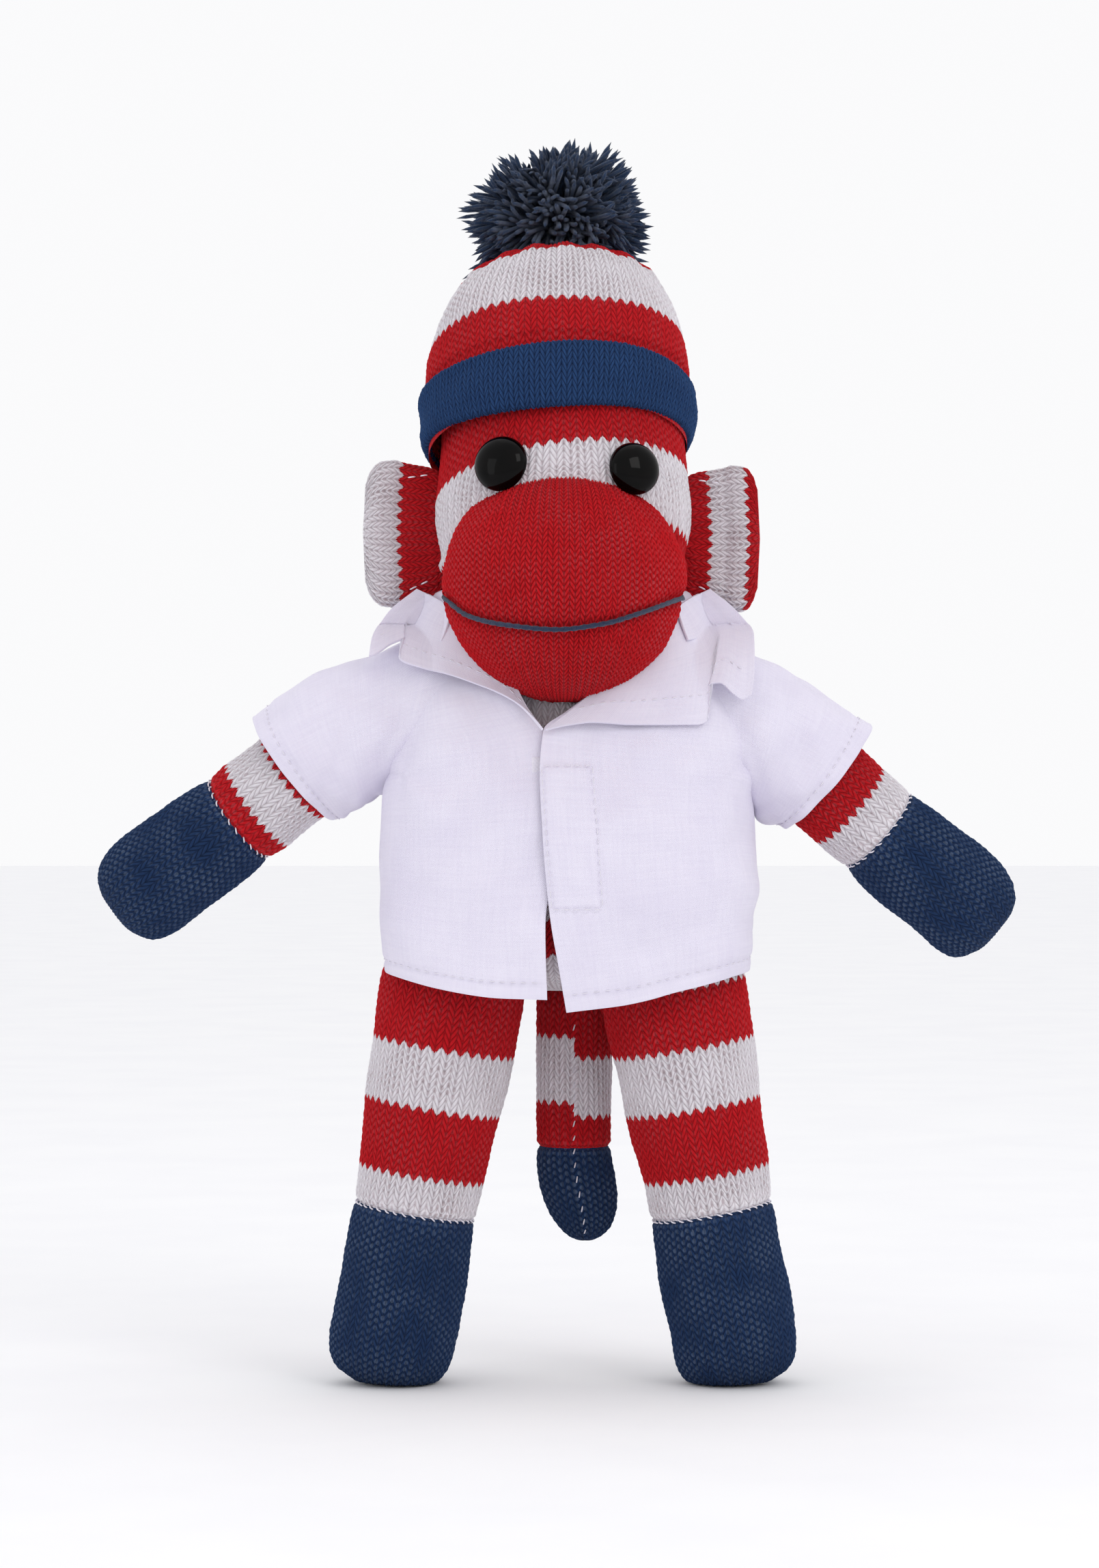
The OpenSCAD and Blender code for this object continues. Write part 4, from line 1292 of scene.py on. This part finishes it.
def front_panel(side):
    """One front of the shirt, from its opening edge round to the side seam."""
    name = SIDE_NAME[side]
    if side == LEFT:
        open_edge = [[0.6, 85.0], [-1.3, 96], [-2.7, 104], [-3.7, 112.4], [-4.7, 126], [-5.2, 139],
                     [-4.4, 147.0]]
        hem = [[0.6, 85.4], [14, 87.2], [28, 90.4], [38, 92.9], [42.0, 94.2]]
        lapel = [[-4.4, 147.0], [0.5, 151], [10, 158], [17, 165], [21, 172], [23, 177]]
        depth = 0.0
    else:
        open_edge = [[-3.6, 87.8], [-3.9, 97], [-4.0, 104], [-3.2, 113], [-2.4, 125], [-2.0, 136],
                     [-3.0, 143], [-4.8, 147.4]]
        hem = [[-3.6, 87.8], [-14, 88.2], [-28, 90.2], [-37, 92.6], [-41.8, 94.0]]
        lapel = [[-4.8, 147.4], [-8, 150.6], [-13, 157], [-18, 165], [-21, 172], [-23, 177]]
        depth = 1.6
    rows, cols = 150, 90
    seam = [[side * 0.9999 * 42.4, 93.8], [side * 40.2, 105], [side * 38.9, 122],
            [side * 38.0, 134.5]]
    arm = [[side * 38.0, 134.5], [side * 36.8, 142], [side * 36.6, 150], [side * 36.2, 156],
           [side * 34.5, 162], [side * 30, 169], [side * 23.3, 176.6]]

    def to_angle(points):
        points = np.asarray(points, float)
        theta = theta_at(points[:, 0], points[:, 1])
        return np.stack([theta * 40, points[:, 1]], 1)

    left_edge = np.array(open_edge + lapel[1:])
    right_edge = np.array(seam + arm[1:])
    right_theta = to_angle(right_edge)
    below = np.array(seam)[:, 1]
    right_theta[: len(below), 0] = side * math.pi / 2 * 40
    right_theta[len(below):, 0] = side * np.interp(
        right_edge[len(below):, 1], [134.5, 142, 156, 169, 177], [1.53, 1.52, 1.5, 1.46, 1.36]) * 40
    left_theta = to_angle(left_edge)
    hem_end = [side * math.pi / 2 * 40, hem[-1][1]]
    grid = patch(border([[*to_angle([h])[0]] for h in hem[:-1]] + [hem_end]),
                 border([left_theta[-1], right_theta[-1] + [side * 0.5, 0.6]]),
                 border(left_theta), border(right_theta), rows, cols)
    theta, z = grid[..., 0] / 40, grid[..., 1]
    flat = shirt_point(theta, z)
    out = folds(flat[..., 0], z, 101 + side, 1.0)
    quiet = ease((abs(flat[..., 0]) - 2) / 14) * ease((176 - z) / 12)
    belly = 0.6 * np.exp(-((z - 118) / 22) ** 2)
    hem_lip = 0.5 * np.exp(-((z - hem_height(flat[..., 0], side) - 2.7) / 0.7) ** 2)
    under = ease((z - 98) / 14) * (1 - ease((np.abs(theta) - 0.7) / 0.6))
    at_seam = 1 - ease((np.abs(theta) - 1.2) / 0.36)
    out = (out * (0.25 + 0.75 * quiet) + belly) * at_seam - depth * under - hem_lip
    if side == LEFT:
        tape_x, tape_z = flat[..., 0] - tape_lean(z), z
        inside = ease((tape_x + 4.0) / 0.8) * ease((6.6 - tape_x) / 0.8)
        inside = inside * ease((tape_z - 107.6) / 0.8) * ease((139.2 - tape_z) / 0.8)
        out += 0.6 * inside
    points = shirt_point(theta, z, out)
    obj = sheet_piece(f"{name}_front_cotton", points, CLOTH, COTTON)
    return obj, points


def tape_lean(z):
    """The stitched rectangle leans a little: its offset to the doll's left at a height."""
    return 2.2 * (139.2 - z) / 31.6 - 0.6


def hem_height(x, side):
    keys = ([[0.6, 85.4], [14, 87.2], [28, 90.4], [38, 92.9], [43, 94.2]] if side == LEFT
            else [[-43, 94.2], [-37, 92.6], [-28, 90.2], [-14, 88.2], [-3.7, 87.8], [4, 87.0]])
    return curve(keys, x)


def back_panel():
    rows, cols = 120, 160
    lap = 0.07  # the back runs on a little under the fronts
    q = np.linspace(math.pi / 2 - lap, 3 * math.pi / 2 + lap, cols)[None, :]
    v = np.linspace(0, 1, rows)[:, None]
    reach = np.abs(q - math.pi) / (math.pi / 2)
    low = 90.4 + 3.2 * reach**2 + 0.5 * np.sin(q * 5)
    high = 177.5 - 42.8 * ease((reach - 0.9) / 0.1) - 2.0 * ease((reach - 0.6) / 0.3)
    z = low + (high - low) * v
    flat = shirt_point(q, z)
    side_fade = ease((1 - reach) / 0.2)
    out = waves(111, flat[..., 0], z * 0.8, 24) * 0.9 + waves(113, flat[..., 0], z, 9) * 0.2
    out = out * side_fade
    out += 0.9 * np.exp(-(flat[..., 0] / 7) ** 2) * ease((160 - z) / 30)  # a soft centre pleat
    out = out * ease((178 - z) / 10) - 0.5 * ease((reach - 0.96) / 0.06)
    points = shirt_point(q, z, out)
    return sheet_piece("shirt_back_cotton", points, CLOTH, COTTON), points


def sleeve(side):
    """Short sleeve, from the armhole out along the arm."""
    name = SIDE_NAME[side]
    axis, across = arm_axis(side), arm_side(side)
    if across[2] < 0:
        across = -across
    depth = np.cross(axis, across)
    rows, cols = 70, 132
    q = np.linspace(0, 2 * math.pi, cols + 1)[:-1][None, :]
    v = np.linspace(0, 1, rows)[:, None]
    # armhole: an upright oval in the shirt's side
    hole_c = np.array([side * 27.0, 1.0, 154.0])
    up0, dep0 = np.array([-side * 0.35, 0, 1.0]), np.array([0, 1.0, 0])
    end_c = shoulder[side] + axis * 31.0 + across * (1.0 if side == LEFT else 2.2)
    high_end, deep_end = (15.0, 13.2) if side == LEFT else (14.6, 13.2)
    centre = (hole_c * (1 - v)[..., None] + end_c * v[..., None]
              + np.array([side * 1.0, 0, 0.8]) * (4 * v * (1 - v))[..., None])
    up = up0 * (1 - v)[..., None] + across * v[..., None]
    up /= np.linalg.norm(up, axis=-1, keepdims=True)
    dep = dep0 * (1 - v)[..., None] + depth * np.sign(depth[1]) * v[..., None]
    dep /= np.linalg.norm(dep, axis=-1, keepdims=True)
    ru = 17.4 * (1 - v) + high_end * v
    rd = 14.6 * (1 - v) + deep_end * v
    cos, sin = np.cos(q), np.sin(q)
    turn = q / (2 * math.pi)
    wrinkle = 0.8 * wave_round(121 + side, turn, v * 32, 15) * ease(v / 0.15)
    wrinkle = wrinkle + 0.35 * wave_round(123 + side, turn * 2, v * 32, 7)
    lip = -0.3 * np.exp(-(((1 - v) * 31 - 2.6) / 0.7) ** 2)
    grow = wrinkle + lip + 0.5 * ease((v - 0.6) / 0.4) * np.sin(3 * q + side)
    points = (centre + ((ru + grow) * cos)[..., None] * up + ((rd + grow) * sin)[..., None] * dep)
    obj = sheet_piece(f"{name}_sleeve_cotton", points, CLOTH, COTTON, closed=True)
    return obj, points


def flap(keys_bottom, keys_top, keys_left, keys_right, lift, seed):
    """A flap that lies on the fronts: borders are (x, z) in the front view, lift(u, v) is its
    height over the shirt."""
    rows, cols = 40, 110
    grid = patch(border(keys_bottom), border(keys_top), border(keys_left), border(keys_right),
                 rows, cols)
    x, z = grid[..., 0], grid[..., 1]
    u, v = np.meshgrid(np.linspace(0, 1, cols), np.linspace(0, 1, rows))
    base = flap_base(x, z)
    y = base - lift(u, v) - 0.3 * waves(seed, x, z, 14)
    return np.stack([x, y, z], -1)


def flap_base(x, z):
    """Y of the chest and shoulders under the collar, over a point of the front view."""
    rx, ry, cy = curve(SHIRT_KEYS, np.clip(z, 84, 176))
    q = np.clip(np.abs(x) / (rx + 7.0), 0, 0.97)
    body = cy - ry * np.sqrt(1 - q**2)
    sleeve_top = 1.0 - 15.4 * np.sqrt(np.clip(1 - ((z - 153.5) / 17.4) ** 2, 0, 1))
    away = ease((np.abs(x) - 20) / 16)
    return body * (1 - away) + np.minimum(body, sleeve_top) * away


def blend_front(obj):
    """Bakes the piece's placement into its points."""
    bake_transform(obj)


def shirt():
    left_front, left_points = front_panel(LEFT)
    right_front, right_points = front_panel(RIGHT)
    for side, obj in ((LEFT, left_front), (RIGHT, right_front)):
        name = SIDE_NAME[side]
        blend_front(obj)
        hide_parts(f"{name}_front")
    back, back_points = back_panel()
    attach(back, "torso")
    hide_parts("shirt_back")
    for side in (LEFT, RIGHT):
        name = SIDE_NAME[side]
        obj, points = sleeve(side)
        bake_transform(obj)
        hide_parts(f"{name}_sleeve")
        rim = points[-6]
        middle = rim.mean(axis=0)
        n = rim - middle
        closed = np.concatenate([rim, rim[:1]])
        out = np.concatenate([n, n[:1]])
        out /= np.linalg.norm(out, axis=1, keepdims=True)
        paths = stitch_paths(closed + out * 0.35, out, 1.5, 0.9, 0.16, 0, 131 + side)
        thread = strands(f"{name}_sleeve_stitches", paths, STITCH_R, THREAD, sides=5)
        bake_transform(thread)
    collar()
    closure()
    hems(left_points, right_points)


HEM_ROW = 5  # the row of a front's grid that the hem's stitches follow


def hems(left_points, right_points):
    """Running stitches above the hems of the two fronts."""
    for side, points in ((LEFT, left_points), (RIGHT, right_points)):
        name = SIDE_NAME[side]
        line = points[HEM_ROW][2:-2]
        n = normals_of(points, False)[HEM_ROW][2:-2]
        n = n * np.sign(-n[:, 1:2] + 1e-9)
        out = np.where((line * [1, 1, 0] * n).sum(axis=1, keepdims=True) < 0, -n, n)
        paths = stitch_paths(line + out * 0.3, out, 1.5, 0.9, 0.16, 0, 141 + side)
        obj = strands(f"{name}_hem_stitches", paths, STITCH_R, THREAD, sides=5)
        blend_front(obj)


def closure():
    """The stitched rectangle of the hook-and-loop tape, and the tapes themselves."""
    z = np.linspace(107.6, 139.2, 50)
    sides = []
    for x in (-4.2, 6.8):
        sides.append(np.stack([x + tape_lean(z), z], 1))
    ends = []
    for zz in (107.6, 139.2):
        x = np.linspace(-4.2, 6.8, 20)
        ends.append(np.stack([x + tape_lean(zz), np.full(20, zz)], 1))
    paths = []
    for line in (sides[0], ends[1], sides[1][::-1], ends[0][::-1]):
        theta = theta_at(line[:, 0], line[:, 1])
        p = shirt_point(theta, line[:, 1], 1.35)
        paths += stitch_paths(p, np.broadcast_to(FRONT, p.shape), 1.5, 0.8, 0.16, 0, 151)
    obj = strands("closure_stitches", paths, STITCH_R, THREAD, sides=5)
    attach(obj, "torso")
    for name, x0, x1, out, node in (("loop_tape_strip", -3.6, 6.4, -0.9, "loop_tape"),
                                    ("hook_tape_strip", -6.8, 3.2, -1.35, "hook_tape")):
        z = np.linspace(108.4, 141.0 if "hook" in name else 138.6, 60)[:, None]
        x = np.linspace(x0, x1, 20)[None, :] + tape_lean(z) * 0.6
        theta = theta_at(x, z + 0 * x)
        points = shirt_point(theta, z + 0 * x, out)
        obj = sheet_piece(name, points, TAPE_THICK, TAPE)
        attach(obj, "torso")
        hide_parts(node)


def collar():
    """Camp collar: a band that stands and folds over behind the neck, and flaps in front."""
    # the band, all the way round behind
    half = math.radians(122)
    cols, rows = 150, 26
    q = np.linspace(-half, half, cols)[None, :]
    section = np.array([[25.2, 168.2], [25.8, 173], [26.4, 177.0], [27.2, 178.5], [28.4, 178.0],
                        [29.6, 175.4], [31.0, 172.2], [32.4, 169.4]])
    s = np.concatenate([[0], np.cumsum(np.linalg.norm(np.diff(section, axis=0), axis=1))])
    v = np.linspace(0, s[-1], rows)
    rad, z = curve(np.column_stack([s, section]), v)
    rad, z = rad[:, None], z[:, None]
    wave = 0.5 * waves(161, q * 28, z, 16)
    x = (rad + wave) * np.sin(q)
    y = 4 + (rad + wave) * np.cos(q)
    outer = ease((v - 11) / 10)[:, None]
    droop = 2.0 * outer * ease((np.abs(q) - 1.2) / 0.9)
    z = z + 0 * q + 0.6 * waves(163, q * 28, z, 22) * outer - droop
    points = np.stack([x, y, z], -1)
    band = sheet_piece("collar_band_cotton", points, COLLAR_CLOTH, COTTON)
    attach(band, "torso")
    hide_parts("collar")

    def lift_left(u, v):
        return 1.7 + 0.8 * np.sin(math.pi * u) * (1 - v) + 0.5 * np.exp(-v * 9) - 0.3 * u

    wing = flap([[-4.0, 146.9], [1.0, 148.0], [6.2, 148.6], [14.9, 148.1],
                              [29.7, 148.2], [31.6, 149.0], [32.6, 157.2], [34.4, 157.5],
                              [37.8, 154.9], [39.7, 153.8], [41.8, 155.0]],
                [[17, 166], [22, 171], [28, 176.5], [33.0, 179.0]],
                [[-4.0, 146.9], [3, 152.5], [10, 158.5], [17, 166]],
                [[41.8, 155.0], [42.4, 160.5], [42.6, 168.4], [39.4, 173.6], [33.0, 179.0]],
                lift_left, seed=171)
    wing_r = flap([[-4.6, 147.0], [-6.8, 149.6], [-9.8, 152.5], [-14.2, 155.1],
                                 [-19.1, 157.1], [-25.3, 159.3], [-31.5, 160.9], [-36.4, 163.2],
                                 [-35.4, 167.6], [-38.6, 166.2], [-41.6, 164.0], [-43.2, 163.4]],
                  [[-17, 168], [-22, 172], [-28, 176.5], [-33, 179.0]],
                  [[-4.6, 147.0], [-8, 152], [-12, 160], [-17, 168]],
                  [[-43.2, 163.4], [-42.8, 167.2], [-39.5, 173.5], [-33, 179.0]],
                  lambda u, v: 1.6 + 0.6 * np.exp(-v * 7), seed=175)
    flaps = {"left_lapel": wing, "right_lapel": wing_r}
    for name, points in flaps.items():
        obj = sheet_piece(f"{name}_cotton", points, COLLAR_CLOTH, COTTON)
        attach(obj, "torso")
    seam = []
    for points, row, seed in ((wing, 9, 181), (wing_r, 9, 183)):
        line = points[row][4:-2]
        out = np.broadcast_to(FRONT, line.shape)
        seam += stitch_paths(line + FRONT * 0.36, out, 1.4, 0.9, 0.15, 0, seed)
    obj = strands("collar_stitches", seam, STITCH_R, THREAD, sides=5)
    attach(obj, "torso")


# ---------- stage, in metres ----------

LAMP_AIM = (0, 0, 0.15)
LAMPS = [  # name, place, size across and up, power, colour
    ("key", (0.55, -0.75, 0.75), 0.45, 0.45, 1.7, (1.0, 0.98, 0.97)),
    ("fill", (-0.8, -0.55, 0.35), 0.3, 0.6, 0.5, (0.95, 0.97, 1.0)),
    ("top", (0.0, 0.2, 1.1), 0.7, 0.7, 0.4, (1, 1, 1)),
]
CAMERA_FAR, FRAME_HIGH, SENSOR_MM = 0.95, 0.3536, 24.0
CAMERA_X, CAMERA_Z = -0.0031, 0.1351


def stage():
    floor = bpy.data.meshes.new("floor")
    size = 6.0
    floor.from_pydata([(-size, -size, 0), (size, -size, 0), (size, size, 0), (-size, size, 0)], [],
                      [(0, 1, 2, 3)])
    n = Nodes("floor_pale")
    grain = n.noise(n.place(), 0.02, 3.0, 0.5)
    n.finish(n.mix(grain, rgb("fbfbfc"), rgb("f4f4f7")), 0.8, Specular_IOR_Level=0.1)
    floor.materials.append(n.mat)
    link(floor, "floor")

    world = bpy.data.worlds.new("studio")
    bpy.context.scene.world = world
    world.use_nodes = True
    back = world.node_tree.nodes["Background"]
    back.inputs["Color"].default_value = (0.99, 0.99, 1.0, 1.0)
    back.inputs["Strength"].default_value = 0.97

    def lamp(name, place, size_x, size_y, power, colour):
        light = bpy.data.lights.new(name, "AREA")
        light.shape = "RECTANGLE"
        light.size, light.size_y = size_x, size_y
        light.energy = power
        light.color = colour
        obj = bpy.data.objects.new(name, light)
        bpy.context.scene.collection.objects.link(obj)
        obj.location = place
        obj.rotation_euler = (Vector(LAMP_AIM) - Vector(place)).to_track_quat("-Z", "Y").to_euler()

    for lamp_values in LAMPS:
        lamp(*lamp_values)


def camera():
    """Level view from the front; FRAME_HIGH is what it shows at the doll's middle plane."""
    cam = bpy.data.cameras.new("camera")
    cam.sensor_fit = "VERTICAL"
    cam.sensor_height = SENSOR_MM
    cam.lens = SENSOR_MM * CAMERA_FAR / FRAME_HIGH
    obj = bpy.data.objects.new("camera", cam)
    bpy.context.scene.collection.objects.link(obj)
    obj.location = (CAMERA_X, -CAMERA_FAR, CAMERA_Z)
    obj.rotation_euler = (math.radians(90), 0, 0)
    bpy.context.scene.camera = obj
    bpy.context.scene.view_settings.view_transform = "Standard"


camera()
stage()
torso()
head()
muzzle()
for each in (LEFT, RIGHT):
    eye(each)
    leg(each)
    arm(each)
    ear(each)
tail()
hat()
pompom()
shirt()
